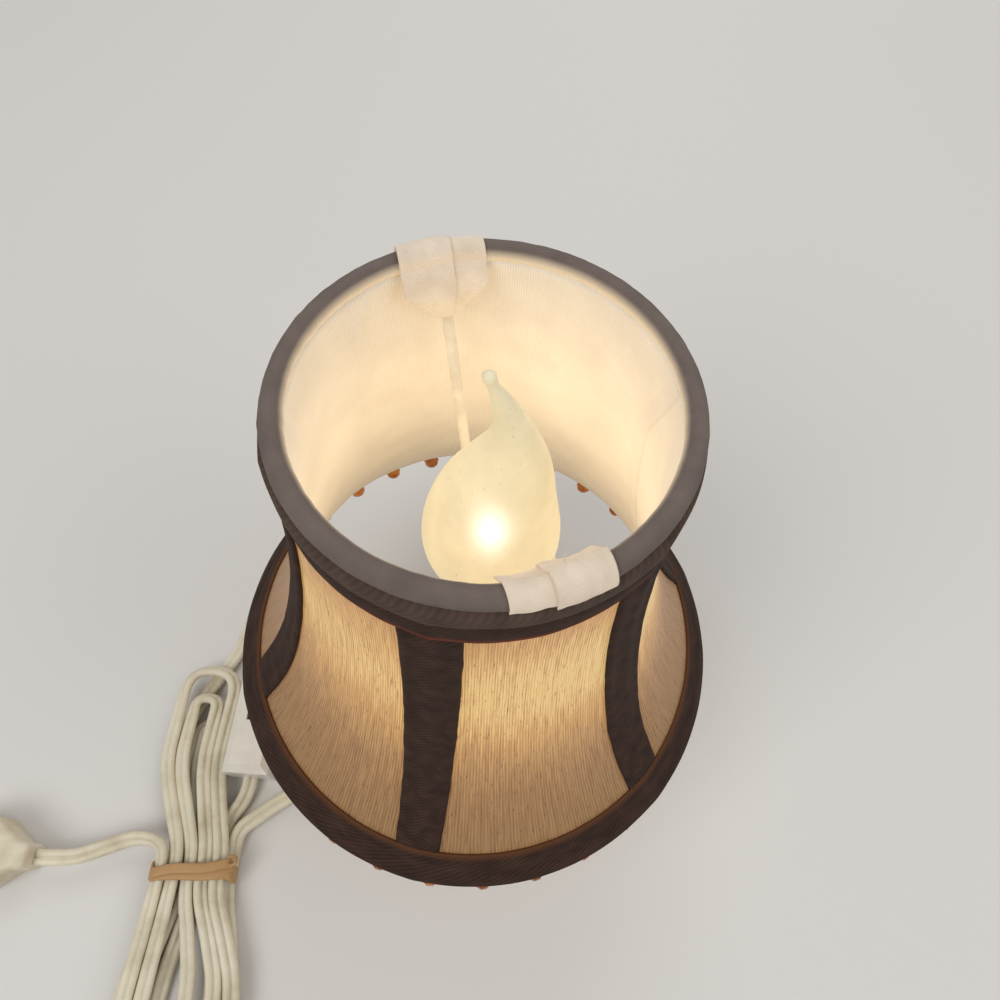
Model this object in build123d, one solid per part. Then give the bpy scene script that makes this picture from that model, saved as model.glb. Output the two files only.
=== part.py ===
from build123d import *
import math
import os

# A candle lamp with a clip-on bell shade, in millimetres. The origin is on the table, at the centre of
# the foot. +Z is up and -Y is the front.

# Shade frame: the sizes are those of the wire's centre line
SHADE_X = -2.5          # the clip holds the shade this far to one side of the bulb
RIM_Z = 70.0            # bottom ring above the table
SHADE_H = 128.0         # between the two rings
TOP_R = 38.5
RIM_R = 73.5
KNEE_OUT = 12.5         # the ribs' knee: outward of the top ring
KNEE_DROP = 85.0        # and below it
RIBS = 6
RIB_AZ = -99.65         # azimuth of the front rib
WIRE_D = 1.6

# Shade cloth
CLOTH_GAP = 0.1         # between one layer and the next
LINING_T = 0.5
PANEL_T = 0.6
PANEL_GAP = 0.5         # between two panels, under the rib trim
TRIM_T = 0.7
TRIM_W = 12.0           # tape on each rib
TOP_BAND_W = 13.0
RIM_BAND_W = 12.0
ROLL_D = 4.4            # lining rolled over the top ring
ROLL_SLOT = 0.6         # round the wires inside the roll

# Bead fringe
BEADS = 30
BEAD_D = 6.0
THREAD_D = 0.9
THREAD_L = 2.6

# Bulb
BULB_D = 33.6
BULB_Z = 145.0          # widest point
NECK_Z = 121.0          # top of the screw cap
NECK_D = 12.6
SHOULDER_Z = 165.0      # the glass bends from here
SHOULDER_D = 26.4
GLASS_T = 0.8
FLARE_D = 26.0          # two places on the side of the glass, below and above the widest point
FLARE_Z = 134.0
CROWN_D = 31.0
CROWN_Z = 156.0
NECK_FLARE = 0.35       # outward run of the glass per rise, at the neck
CROWN_FALL = 0.32       # inward run at the shoulder
TIP_D = 2.8
TIP_RISE = 38.0         # from the shoulder to the nub
TIP_SWAY = 3.3          # the flame bends to one side first
TIP_LEAN = 2.2          # and its nub to the other
TIP_STAGES = 8
TIP_THINNING = 1.3      # how soon the tip gets thin
TIP_HOLLOW = 5          # stages that are hollow
CAP_D = 11.9
CAP_L = 16.0
INSULATOR_L = 2.5
INSULATOR_D = 9.9
CONTACT_L = 1.2
CONTACT_D = 4.4
CAP_PLAY = 0.35         # the cap in its screw shell, on radius
STEM_D = 5.0
STEM_L = 16.0
FILAMENT_D = 0.8
FILAMENT_W = 12.0
FILAMENT_Z = 146.0

# Bulb clip
CLIP_AZ = 107.0
CLIP_D = 2.6
CLIP_Z = 143.0          # middle of the loops
CLIP_PLAY = 0.2         # between the clip's loops and the glass
CLIP_HALF_H = 10.0
CLIP_SPAN = 76.0        # degrees round the bulb
ARM_DROP = 3.0          # the clip's arms end this far below the top ring's middle
TAPE_W = 18.0
TAPE_T = 0.8
TAPE_PLAY = 0.7         # lets the shade rock
TAPE_DROP = 11.0        # length of the V below the ring
TAPE_END_W = 5.0

# Candle, socket and base
SLEEVE_D = 23.0
SLEEVE_T = 1.2
SLEEVE_TOP = 119.0
SOCKET_D = 18.6
SOCKET_RIM = 0.5        # the socket ends this far above the sleeve
SOCKET_FLOOR = 6.0
SHELL_T = 0.5
FIT = 0.05              # pieces pressed or screwed together, on radius
PIPE_D = 9.6
PIPE_BORE = 6.8
PIPE_END = 7.5
HUB_D = 15.0
HUB_L = 10.0
FLANGE_T = 1.5
PAN_D = 54.0
PAN_Z = 43.0            # underside of the drip pan
PAN_T = 1.2
PAN_RIM = 5.0
SEAT_H = 4.0
SEAT_PLAY = 0.3
CUP_D = 26.0
CUP_WAIST = 17.0
NUT_AF = 14.0
NUT_H = 3.5
WASHER_D = 22.0
WASHER_T = 1.0
FOOT_D = 96.0
FOOT_WALL = 1.2
FOOT_EDGE = 10.0        # top of the foot's upright edge
FOOT_TOP = 31.0
FOOT_FLARE = 22.0       # the lower curve reaches this far beyond the step
FOOT_STEP_D = FOOT_D - 2 * FOOT_FLARE
FOOT_STEP_Z = 19.5
FOOT_BULGE_OUT = 3.0    # of the lower curve, at its middle
FOOT_BULGE_UP = 2.0
FOOT_DIP = 2.0          # of the upper curve, inward and down
FELT_T = 1.5
WEIGHT_D = 70.0
WEIGHT_H = 4.5
WEIGHT_EDGE = 1.0       # height of its upright edge

# Lead, as a round tube with about the section of a flat twin lead
LEAD_D = 4.2
INNER_D = 3.0
INNER_Z = 4.2           # lead inside the foot, near the pipe
INNER_RUN = 4.0         # straight behind the grommet
INNER_NEAR = 12.0       # from here to the pipe it runs level
INNER_EASE = 20.0       # radius of its two slight bends
INNER_BEND = 3.0        # radius of its turn up the pipe
EXIT_AZ = -145.0
EXIT_Z = 5.2
GROMMET_L = 20.0
GROMMET_D = 7.0
GROMMET_NECK = 5.5
GROMMET_LIP = 2.0
GROMMET_TIP_D = 5.2
FREE_RUN = 8.0          # lead straight out of the grommet
TIE_RUN = 9.0           # and straight into the hank
BEND_SHARE = 0.45       # of the shorter run beside a bend

# Hank: places are offsets from the middle of the tie
HANK_LEFT = 48.0        # from the foot's edge to the middle of the tie
HANK_FRONT = 27.0
TIE_X = -FOOT_D / 2 - HANK_LEFT
TIE_Y = -FOOT_D / 2 - HANK_FRONT
STEP = 5.2              # from strand to strand in the tie
LAYER = 4.9             # from one layer of strands to the next
LAYER_SHIFT = -2.6      # the upper layer lies between the strands of the lower one
TIE_LAYER_Z = 3.5       # lower layer of strands, inside the tie
LOBE_LAYER_Z = 2.3      # the same layer, outside it
TIE_HALF = 6.0          # strands run straight this far each way from the middle
SHOULDER = 20.0         # distance from the middle at which a loop is half as wide as it gets
SPREAD = 36.0           # and at which it has its full width
STRAIGHT = 0.2          # degrees, below which two runs of the lead are one
NEIGHBOUR = 14.0        # lengths of lead nearer than this along the line are one strand
BAND_W = 7.0
BAND_T = 1.0
BAND_PLAY = 0.3

# Switch on the lead
SWITCH_X = 11.0         # offset from the middle of the tie
SWITCH_Y = 58.5
SWITCH_L = 51.0
SWITCH_W = 17.0
SWITCH_H = 16.5
TRAY_H = 7.5
SWITCH_WALL = 1.5
SWITCH_BEVEL = 2.6
TUNNEL_Z = 3.8
TUNNEL_PLAY = 0.25
ROLLER_D = 12.0
ROLLER_W = 5.0
ROLLER_NOTCHES = 18
NOTCH_W = 0.9
NOTCH_DEPTH = 0.5
ROLLER_PLAY = 0.5
PIN_D = 2.0
PIN_PLAY = 0.15
LEAF_T = 0.6
LEAF_L = 16.0
LEAF_H = 5.0
SCREW_D = 2.4
SCREW_HEAD_D = 4.4
SCREW_HEAD_H = 0.9
SCREW_X = 4.6
SCREW_Y = -19.0
SCREW_SKIN = 1.0        # of the cover, left above the screw's end
BOSS_D = 4.6

# Plug
PLUG_L = 28.0
PLUG_W = 24.0
PLUG_H = 14.0
PLUG_NECK_W = 9.0
PLUG_TAPER = 14.0
PLUG_ROUND = 3.0        # of its upright edges
PLUG_EDGE = 2.0         # and of its upper and lower ones
BLADE_L = 16.5
BLADE_W = 6.35
BLADE_T = 1.5
BLADE_PITCH = 12.7

PARTS = "parts"
WIRE_R = WIRE_D / 2
TOP_Z = RIM_Z + SHADE_H
LEAD_R = LEAD_D / 2
shade_place = Pos(SHADE_X, 0, 0)


def save(name, *solids):
    """Write one node, as one solid or as a group of separate solids."""
    shape = solids[0] if len(solids) == 1 else Compound(children=list(solids))
    export_step(shape, os.path.join(PARTS, name + ".step"))


def turned(points):
    """A solid of revolution about Z from a closed outline of (radius, height) points."""
    outline = Polyline(*[(r, 0, z) for r, z in points], close=True)
    return revolve(make_face(outline), Axis.Z)


def disc(diameter, z_low, z_high):
    height = z_high - z_low
    return Pos(0, 0, z_low) * Cylinder(diameter / 2, height, align=(Align.CENTER, Align.CENTER, Align.MIN))


def tube(outer_d, inner_d, z_low, z_high):
    return disc(outer_d, z_low, z_high) - disc(inner_d, z_low, z_high)


def rod(start, end, diameter):
    """A round bar from one point to another."""
    line = Vector(*end) - Vector(*start)
    plane = Plane(origin=start, z_dir=line.normalized())
    return plane * Cylinder(diameter / 2, line.length, align=(Align.CENTER, Align.CENTER, Align.MIN))


def ball(centre, diameter):
    return Pos(*centre) * Sphere(diameter / 2)


def polar(radius, azimuth, z):
    angle = math.radians(azimuth)
    return (radius * math.cos(angle), radius * math.sin(angle), z)


# Bell line of the ribs: an arc that leaves the top ring upright, and a tighter one from the knee to the rim.
# A point on it is named by the slope of the line there, in radians from upright.
UPPER_R = (KNEE_OUT ** 2 + KNEE_DROP ** 2) / (2 * KNEE_OUT)
KNEE_SLOPE = 2 * math.atan(KNEE_OUT / KNEE_DROP)
LOWER_OUT = RIM_R - TOP_R - KNEE_OUT
LOWER_DROP = SHADE_H - KNEE_DROP
LOWER_TURN = math.atan(LOWER_OUT / LOWER_DROP) - KNEE_SLOPE
LOWER_R = math.hypot(LOWER_OUT, LOWER_DROP) / (2 * math.sin(LOWER_TURN))
RIM_SLOPE = KNEE_SLOPE + 2 * LOWER_TURN


def bell(slope, out=0.0):
    """The (radius, height) at a slope of the bell line, moved outward square to the line."""
    if slope <= KNEE_SLOPE:
        radius = UPPER_R - out
        return (TOP_R + UPPER_R - radius * math.cos(slope), TOP_Z - radius * math.sin(slope))
    knee_r = TOP_R + KNEE_OUT
    knee_z = TOP_Z - KNEE_DROP
    centre_r = knee_r + LOWER_R * math.cos(KNEE_SLOPE)
    centre_z = knee_z + LOWER_R * math.sin(KNEE_SLOPE)
    radius = LOWER_R - out
    return (centre_r - radius * math.cos(slope), centre_z - radius * math.sin(slope))


def slope_below_top(length):
    """The slope at a length along the bell line from the top ring, above the knee."""
    return length / UPPER_R


def slope_above_rim(length):
    """The slope at a length along the bell line from the bottom ring, below the knee."""
    return RIM_SLOPE - length / LOWER_R


def bell_arcs(out, high, low):
    """The edges of the bell line from one slope down to another."""
    stops = [high, low]
    if high < KNEE_SLOPE < low:
        stops = [high, KNEE_SLOPE, low]
    edges = []
    for first, last in zip(stops, stops[1:]):
        three = [bell(s, out) for s in (first, (first + last) / 2, last)]
        edges.append(Edge.make_three_point_arc(*[(r, 0, z) for r, z in three]))
    return edges


def bell_layer(inner, outer, high, low, azimuth, width):
    """A layer of cloth between two distances from the bell line, over some degrees about an azimuth."""
    inside = bell_arcs(inner, high, low)
    outside = bell_arcs(outer, high, low)
    ends = [Edge.make_line(inside[0] @ 0, outside[0] @ 0), Edge.make_line(inside[-1] @ 1, outside[-1] @ 1)]
    section = make_face(inside + outside + ends)
    return Rot(0, 0, azimuth - width / 2) * revolve(section, Axis.Z, width)


LINING_OUT = -(WIRE_R + CLOTH_GAP)
PANEL_IN = WIRE_R + CLOTH_GAP
PANEL_OUT = PANEL_IN + PANEL_T
TRIM_IN = PANEL_OUT + CLOTH_GAP
TRIM_OUT = TRIM_IN + TRIM_T
CLOTH_TOP = slope_below_top(ROLL_D / 2 + CLOTH_GAP)
BAND_LOW = slope_below_top(ROLL_D / 2 + CLOTH_GAP + TOP_BAND_W)
TRIM_TOP = slope_below_top(ROLL_D / 2 + 2 * CLOTH_GAP + TOP_BAND_W)
BAND_HIGH = slope_above_rim(RIM_BAND_W)
TRIM_LOW = slope_above_rim(RIM_BAND_W + CLOTH_GAP)
RIB_STEP = 360 / RIBS
rib_azimuths = [RIB_AZ + RIB_STEP * k for k in range(RIBS)]


def roll_section():
    """The rolled lining cut across: round outside, with a slot that opens downward for the ring's wire."""
    outer = ROLL_D / 2
    slot = WIRE_R + ROLL_SLOT
    lip_z = -math.sqrt(outer ** 2 - slot ** 2)
    lines = [
        ThreePointArc((-slot, 0, 0), (0, 0, slot), (slot, 0, 0)),
        Line((slot, 0, 0), (slot, 0, lip_z)),
        ThreePointArc((slot, 0, lip_z), (0, 0, outer), (-slot, 0, lip_z)),
        Line((-slot, 0, lip_z), (-slot, 0, 0)),
    ]
    return make_face(lines)


def shade_wires():
    """Top ring, bottom ring and the ribs, which end at the rings."""
    top_ring = Pos(0, 0, TOP_Z) * Torus(TOP_R, WIRE_R)
    rim_ring = Pos(0, 0, RIM_Z) * Torus(RIM_R, WIRE_R)
    end_gap = WIRE_R + CLOTH_GAP
    line = Wire(bell_arcs(0, slope_below_top(end_gap), slope_above_rim(end_gap)))
    start = Plane(origin=line @ 0, z_dir=line % 0)
    rib = sweep(start * Circle(WIRE_R), path=line)
    save("top_ring", shade_place * top_ring)
    save("bottom_ring", shade_place * rim_ring)
    save("shade_ribs", *[shade_place * Rot(0, 0, az) * rib for az in rib_azimuths])
    roll = revolve(Pos(TOP_R, 0, TOP_Z) * roll_section(), Axis.Z)
    save("lining_roll", shade_place * roll)


def shade_cloth():
    """Lining, panels, rib trims and the two bands."""
    lining = bell_layer(LINING_OUT - LINING_T, LINING_OUT, CLOTH_TOP, RIM_SLOPE, 0, 360)
    save("lining", shade_place * lining)
    panel_angle = RIB_STEP - math.degrees(PANEL_GAP / TOP_R)
    trim_angle = 2 * math.degrees(TRIM_W / TOP_R)
    strip = Box(2 * RIM_R, TRIM_W, 2 * TOP_Z, align=(Align.MIN, Align.CENTER, Align.CENTER))
    trim = bell_layer(TRIM_IN, TRIM_OUT, TRIM_TOP, TRIM_LOW, 0, trim_angle) & strip
    for number, az in enumerate(rib_azimuths, start=1):
        panel = bell_layer(PANEL_IN, PANEL_OUT, CLOTH_TOP, RIM_SLOPE, az + RIB_STEP / 2, panel_angle)
        save(f"panel_{number}", shade_place * panel)
        save(f"rib_trim_{number}", shade_place * Rot(0, 0, az) * trim)
    save("top_band", shade_place * bell_layer(TRIM_IN, TRIM_OUT, CLOTH_TOP, BAND_LOW, 0, 360))
    save("bottom_band", shade_place * bell_layer(TRIM_IN, TRIM_OUT, BAND_HIGH, RIM_SLOPE, 0, 360))


def bead_fringe():
    """Round beads on short threads sewn to the bottom ring."""
    thread_top = RIM_Z - WIRE_R
    bead_z = thread_top - THREAD_L - BEAD_D / 2
    bead = Pos(RIM_R, 0, bead_z) * Sphere(BEAD_D / 2)
    thread = Pos(RIM_R, 0, 0) * disc(THREAD_D, bead_z, thread_top) - bead
    turns = [Rot(0, 0, 360 * k / BEADS) for k in range(BEADS)]
    save("fringe_beads", *[shade_place * turn * bead for turn in turns])
    save("fringe_threads", *[shade_place * turn * thread.solid() for turn in turns])


CLIP_R = BULB_D / 2 + CLIP_PLAY + CLIP_D / 2
SADDLE_IN = ROLL_D / 2 + TAPE_PLAY
SADDLE_OUT = SADDLE_IN + TAPE_T
ARM_OFF = SADDLE_OUT + CLIP_D / 2       # arm inward of the top ring's wire


def clip_point(side, z):
    """Where an arm stands beside the top ring, on one side (0 or 180 degrees from the clip's azimuth)."""
    x, y, _ = polar(TOP_R - ARM_OFF, CLIP_AZ + side, z)
    return (x + SHADE_X, y, z)


def bulb_clip():
    """A wire loop on each side of the bulb, with an arm from each to the top ring, on one stiff wire."""
    half = CLIP_SPAN / 2
    high = CLIP_Z + CLIP_HALF_H
    low = CLIP_Z - CLIP_HALF_H
    ring = Plane(origin=(CLIP_R, 0, 0), z_dir=(0, 1, 0)) * Circle(CLIP_D / 2)
    arch = Rot(0, 0, -half) * revolve(ring, Axis.Z, CLIP_SPAN)
    loop = Pos(0, 0, high) * arch + Pos(0, 0, low) * arch
    for az in (-half, half):
        loop += rod(polar(CLIP_R, az, low), polar(CLIP_R, az, high), CLIP_D)
        loop += ball(polar(CLIP_R, az, low), CLIP_D)
        loop += ball(polar(CLIP_R, az, high), CLIP_D)
    sides = []
    for side in (0, 180):
        knee = clip_point(side, TOP_Z - TAPE_DROP)
        top = clip_point(side, TOP_Z - ARM_DROP)
        foot = polar(CLIP_R, CLIP_AZ + side, low)
        arm = rod(foot, knee, CLIP_D) + ball(knee, CLIP_D) + rod(knee, top, CLIP_D)
        sides.append(Rot(0, 0, CLIP_AZ + side) * loop + arm)
    yoke = Pos(0, 0, low) * Rot(0, 0, CLIP_AZ + 180 + half) * revolve(ring, Axis.Z, 180 - CLIP_SPAN)
    clip = sides[0] + sides[1] + yoke
    save("bulb_clip", clip)
    for side, name in ((0, "clip_tape_rear"), (180, "clip_tape_front")):
        save(name, shade_place * clip_tape(CLIP_AZ + side) - clip)


def clip_tape(azimuth):
    """Tape wrapped over the top ring and down round the clip's arm, where it ends in a V."""
    saddle = Pos(TOP_R, 0, TOP_Z) * Rot(90, 0, 0) * (Circle(SADDLE_OUT) - Circle(SADDLE_IN))
    upper = Pos(TOP_R, 0, TOP_Z + SADDLE_OUT / 2) * Rot(90, 0, 0) * Rectangle(3 * SADDLE_OUT, SADDLE_OUT)
    tab_in = TOP_R - ARM_OFF - CLIP_D / 2 - TAPE_T
    tab_out = TOP_R - SADDLE_IN
    tab_r = (tab_in + tab_out) / 2
    tab = Pos(tab_r, 0, TOP_Z - TAPE_DROP / 2) * Rot(90, 0, 0) * Rectangle(tab_out - tab_in, TAPE_DROP)
    angle = math.degrees(TAPE_W / TOP_R)
    wrap = revolve(saddle & upper, Axis.Z, angle) + revolve(tab, Axis.Z, angle)
    v_shape = Polyline(
        (0, -TAPE_W, TOP_Z + ROLL_D),
        (0, TAPE_W, TOP_Z + ROLL_D),
        (0, TAPE_W / 2, TOP_Z),
        (0, TAPE_END_W / 2, TOP_Z - TAPE_DROP),
        (0, -TAPE_END_W / 2, TOP_Z - TAPE_DROP),
        (0, -TAPE_W / 2, TOP_Z),
        close=True,
    )
    v_prism = extrude(make_face(v_shape), 2 * TOP_R, dir=(1, 0, 0))
    return Rot(0, 0, azimuth) * (Rot(0, 0, -angle / 2) * wrap & v_prism)


def glass_outline(inset):
    """Half outline of the bulb from the neck to the shoulder, moved inward by the glass."""
    neck = (NECK_D / 2 - inset, NECK_Z)
    flare = (FLARE_D / 2 - inset, FLARE_Z)
    wide = (BULB_D / 2 - inset, BULB_Z)
    crown = (CROWN_D / 2 - inset, CROWN_Z)
    shoulder = (SHOULDER_D / 2 - inset, SHOULDER_Z)
    points = [(r, 0, z) for r, z in (neck, flare, wide, crown, shoulder)]
    return Spline(*points, tangents=[(NECK_FLARE, 0, 1), (-CROWN_FALL, 0, 1)])


def glass_body(inset):
    side = glass_outline(inset)
    low = Line((0, 0, NECK_Z), side @ 0)
    high = Line(side @ 1, (0, 0, SHOULDER_Z))
    axis = Line((0, 0, SHOULDER_Z), (0, 0, NECK_Z))
    return revolve(make_face([side, low, high, axis]), Axis.Z)


def tip_centre(share):
    """Middle of the bent tip, at a share of its rise."""
    aside = TIP_SWAY * math.sin(math.pi * share ** TIP_THINNING) - TIP_LEAN * share ** 4
    return (aside, 0, SHOULDER_Z + TIP_RISE * share)


def glass_tip(inset, stages):
    """Level sections along the bend, moved inward by the glass."""
    sections = []
    for k in range(stages + 1):
        share = k / TIP_STAGES
        thick = (1 - share) ** TIP_THINNING
        diameter = SHOULDER_D * thick + TIP_D * (1 - thick)
        sections.append(Pos(*tip_centre(share)) * Circle(diameter / 2 - inset))
    return loft(sections)


def bulb():
    """Frosted glass with a bent tip, its stem and filament, and the screw cap."""
    outside = glass_body(0) + glass_tip(0, TIP_STAGES) + ball(tip_centre(1), TIP_D)
    inside = glass_body(GLASS_T) + glass_tip(GLASS_T, TIP_HOLLOW)
    save("bulb_glass", outside - inside)
    stem_top = NECK_Z + STEM_L
    stem = disc(STEM_D, NECK_Z, stem_top)
    save("bulb_stem", stem)
    hoop = rod((-FILAMENT_W / 2, 0, FILAMENT_Z), (FILAMENT_W / 2, 0, FILAMENT_Z), FILAMENT_D)
    for side in (-1, 1):
        top = (side * FILAMENT_W / 2, 0, FILAMENT_Z)
        hoop += rod((side * STEM_D / 4, 0, stem_top), top, FILAMENT_D) + ball(top, FILAMENT_D)
    save("bulb_filament", hoop - stem)
    cap_low = NECK_Z - CAP_L
    cap = disc(CAP_D, cap_low, NECK_Z)
    save("bulb_screw_cap", cap)
    contact_top = cap_low - INSULATOR_L
    insulator = turned([(0, contact_top), (CONTACT_D / 2, contact_top), (INSULATOR_D / 2, cap_low), (0, cap_low)])
    save("bulb_insulator", insulator)
    save("bulb_contact", disc(CONTACT_D, contact_top - CONTACT_L, contact_top))


SEAT_Z = NECK_Z - CAP_L - INSULATOR_L - CONTACT_L - CLOTH_GAP   # top of the socket's own contact
SOCKET_TOP = SLEEVE_TOP + SOCKET_RIM
SHELL_BORE = CAP_D + 2 * CAP_PLAY
SHELL_D = SHELL_BORE + 2 * SHELL_T
CONTACT_T = 1.0
SOCKET_WELL = SEAT_Z - CONTACT_T
SOCKET_LOW = SOCKET_WELL - SOCKET_FLOOR
HUB_TOP = SOCKET_LOW - FLANGE_T
PAN_TOP = PAN_Z + PAN_T


def candle():
    """Candle sleeve, with the socket, its screw shell and contact, and the bracket on the lamp pipe."""
    save("candle_sleeve", tube(SLEEVE_D, SLEEVE_D - 2 * SLEEVE_T, PAN_TOP, SLEEVE_TOP))
    body = disc(SOCKET_D, SOCKET_LOW, SOCKET_TOP) - disc(SHELL_D + 2 * FIT, SOCKET_WELL, SOCKET_TOP)
    save("socket_body", body)
    save("socket_shell", tube(SHELL_D, SHELL_BORE, SEAT_Z, SOCKET_TOP))
    save("socket_contact", disc(SHELL_BORE, SOCKET_WELL, SEAT_Z))
    bracket = disc(HUB_D, HUB_TOP - HUB_L, HUB_TOP) + disc(SOCKET_D, HUB_TOP, SOCKET_LOW)
    bracket -= disc(PIPE_D + 2 * FIT, HUB_TOP - HUB_L, HUB_TOP)
    bracket -= disc(PIPE_BORE, HUB_TOP, SOCKET_LOW)
    save("socket_bracket", bracket)


def foot_section(inset):
    """Outline of the foot, moved in and down by an inset, and carried below the table as its underside is open."""
    below = -FOOT_EDGE
    top = FOOT_TOP - inset
    rim = (FOOT_D / 2 - inset, 0, FOOT_EDGE - inset)
    step = (FOOT_STEP_D / 2 - inset, 0, FOOT_STEP_Z - inset)
    neck = (CUP_D / 2 - inset, 0, top)
    bulge = ((rim[0] + step[0]) / 2 + FOOT_BULGE_OUT, 0, (rim[2] + step[2]) / 2 + FOOT_BULGE_UP)
    dip = ((step[0] + neck[0]) / 2 - FOOT_DIP, 0, (step[2] + neck[2]) / 2 - FOOT_DIP)
    lines = [
        Line((0, 0, below), (rim[0], 0, below)),
        Line((rim[0], 0, below), rim),
        ThreePointArc(rim, bulge, step),
        ThreePointArc(step, dip, neck),
        Line(neck, (0, 0, top)),
        Line((0, 0, top), (0, 0, below)),
    ]
    return make_face(lines)


WASHER_Z = PIPE_END + NUT_H
WEIGHT_Z = WASHER_Z + WASHER_T
PIPE_HOLE = PIPE_D + 2 * FIT
exit_plane = Plane(origin=(0, 0, EXIT_Z), z_dir=polar(1, EXIT_AZ, 0))
FOOT_R = FOOT_D / 2


def hex_nut(z_low):
    prism = extrude(RegularPolygon(NUT_AF / 2, 6, major_radius=False), NUT_H)
    return Pos(0, 0, z_low) * prism - disc(PIPE_HOLE, z_low, z_low + NUT_H)


def base():
    """Foot, weight and felt, and what the lamp pipe clamps between its two nuts."""
    shell = revolve(foot_section(0), Axis.Z) - revolve(foot_section(FOOT_WALL), Axis.Z)
    shell &= disc(2 * FOOT_D, FELT_T, FOOT_TOP)
    shell -= disc(PIPE_HOLE, 0, FOOT_TOP)
    shell -= exit_plane * Cylinder(GROMMET_NECK / 2 + FIT, FOOT_D, align=(Align.CENTER, Align.CENTER, Align.MIN))
    save("base_shell", shell)
    save("felt_pad", disc(FOOT_D, 0, FELT_T))
    weight_top = WEIGHT_Z + WEIGHT_H
    chamfer_r = WEIGHT_D / 2 - WEIGHT_H
    hole_r = PIPE_HOLE / 2
    weight = turned([
        (hole_r, WEIGHT_Z),
        (WEIGHT_D / 2, WEIGHT_Z),
        (WEIGHT_D / 2, WEIGHT_Z + WEIGHT_EDGE),
        (chamfer_r, weight_top),
        (hole_r, weight_top),
    ])
    save("base_weight", weight)
    save("lamp_pipe", tube(PIPE_D, PIPE_BORE, PIPE_END, HUB_TOP))
    save("pipe_washer", tube(WASHER_D, PIPE_HOLE, WASHER_Z, WEIGHT_Z))
    seat_top = PAN_TOP + SEAT_H
    save("pipe_nuts", hex_nut(PIPE_END), hex_nut(seat_top))
    cup = turned([
        (hole_r, FOOT_TOP),
        (CUP_D / 2, FOOT_TOP),
        (CUP_WAIST / 2, FOOT_TOP + (PAN_Z - FOOT_TOP) / 3),
        (CUP_WAIST / 2, FOOT_TOP + (PAN_Z - FOOT_TOP) / 2),
        (CUP_D / 2, PAN_Z),
        (hole_r, PAN_Z),
    ])
    save("candle_cup", cup)
    pan_r = PAN_D / 2
    pan = turned([
        (hole_r, PAN_Z),
        (pan_r - PAN_RIM, PAN_Z),
        (pan_r, PAN_Z + PAN_RIM),
        (pan_r - PAN_T, PAN_Z + PAN_RIM + PAN_T),
        (pan_r - PAN_RIM - PAN_T / 2, PAN_TOP),
        (hole_r, PAN_TOP),
    ])
    save("drip_pan", pan)
    seat_d = SLEEVE_D - 2 * SLEEVE_T - 2 * SEAT_PLAY
    save("sleeve_seat", tube(seat_d, PIPE_HOLE, PAN_TOP, seat_top))


def smooth_path(points):
    """A smooth line from a list of points: straight at both ends, and an arc or two at each point between."""
    corners = [Vector(*p) for p in points]
    middles = [(a + b) * 0.5 for a, b in zip(corners, corners[1:])]
    ways = [(b - a).normalized() for a, b in zip(corners, corners[1:])]
    edges = [Edge.make_line(corners[0], middles[0])]
    for start, end, way_in, way_out in zip(middles, middles[1:], ways, ways[1:]):
        if way_in.get_angle(way_out) < STRAIGHT:
            edges.append(Edge.make_line(start, end))
            continue
        chord = end - start
        along = chord.dot(way_in + way_out)
        turn = 2 * (1 - way_in.dot(way_out))
        reach = (math.sqrt(along ** 2 + turn * chord.dot(chord)) - along) / turn
        joint = (start + way_in * reach + end - way_out * reach) * 0.5
        way_joint = (end - way_out * reach - start - way_in * reach).normalized()
        edges.append(Edge.make_tangent_arc(start, way_in, joint))
        edges.append(Edge.make_tangent_arc(joint, way_joint, end))
    edges.append(Edge.make_line(middles[-1], corners[-1]))
    return Wire(edges)


UP = 1
DOWN = -1
LOW = 0
HIGH = 1


def column_x(column, layer):
    return STEP * (column - 2) + LAYER_SHIFT * layer


def strand(side, column, layer):
    """Two points of a strand that runs through the tie, upward or downward in plan."""
    x = column_x(column, layer)
    z = TIE_LAYER_Z + LAYER * layer
    return [(x, -side * TIE_HALF, z), (x, side * TIE_HALF, z)]


def half_loop(side, column, layer, x, turn, reach):
    """One side of a loop, from the tie to the corner at its end, which turns over the given width."""
    z = LOBE_LAYER_Z + LAYER * layer
    half_way = (column_x(column, layer) + x) / 2
    return [(half_way, side * SHOULDER, z)] + [(x, side * y, z) for y in (SPREAD, reach - turn, reach)]


def loop(side, start, end, start_x, end_x, reach):
    """A loop from one strand of the tie, (column, layer), to another, between two places across the hank."""
    turn = abs(end_x - start_x)
    return half_loop(side, *start, start_x, turn, reach) + half_loop(side, *end, end_x, turn, reach)[::-1]


def switch_loop():
    """The long loop that carries the switch on its second run."""
    back = half_loop(UP, 0, LOW, -19.5, 0, 50)[:3]
    bend = [(-12, 68, LOBE_LAYER_Z), (-4, 84, LOBE_LAYER_Z), (-3, 103, LOBE_LAYER_Z)]
    bend.append((SWITCH_X, 105, LOBE_LAYER_Z + 0.5))
    run = [(SWITCH_X, SWITCH_Y + share * SWITCH_L, TUNNEL_Z) for share in (0.64, 0.45, 0, -0.45, -0.64)]
    return back + bend + run + [(column_x(3, LOW), 17, LOBE_LAYER_Z + 0.4)]


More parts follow.
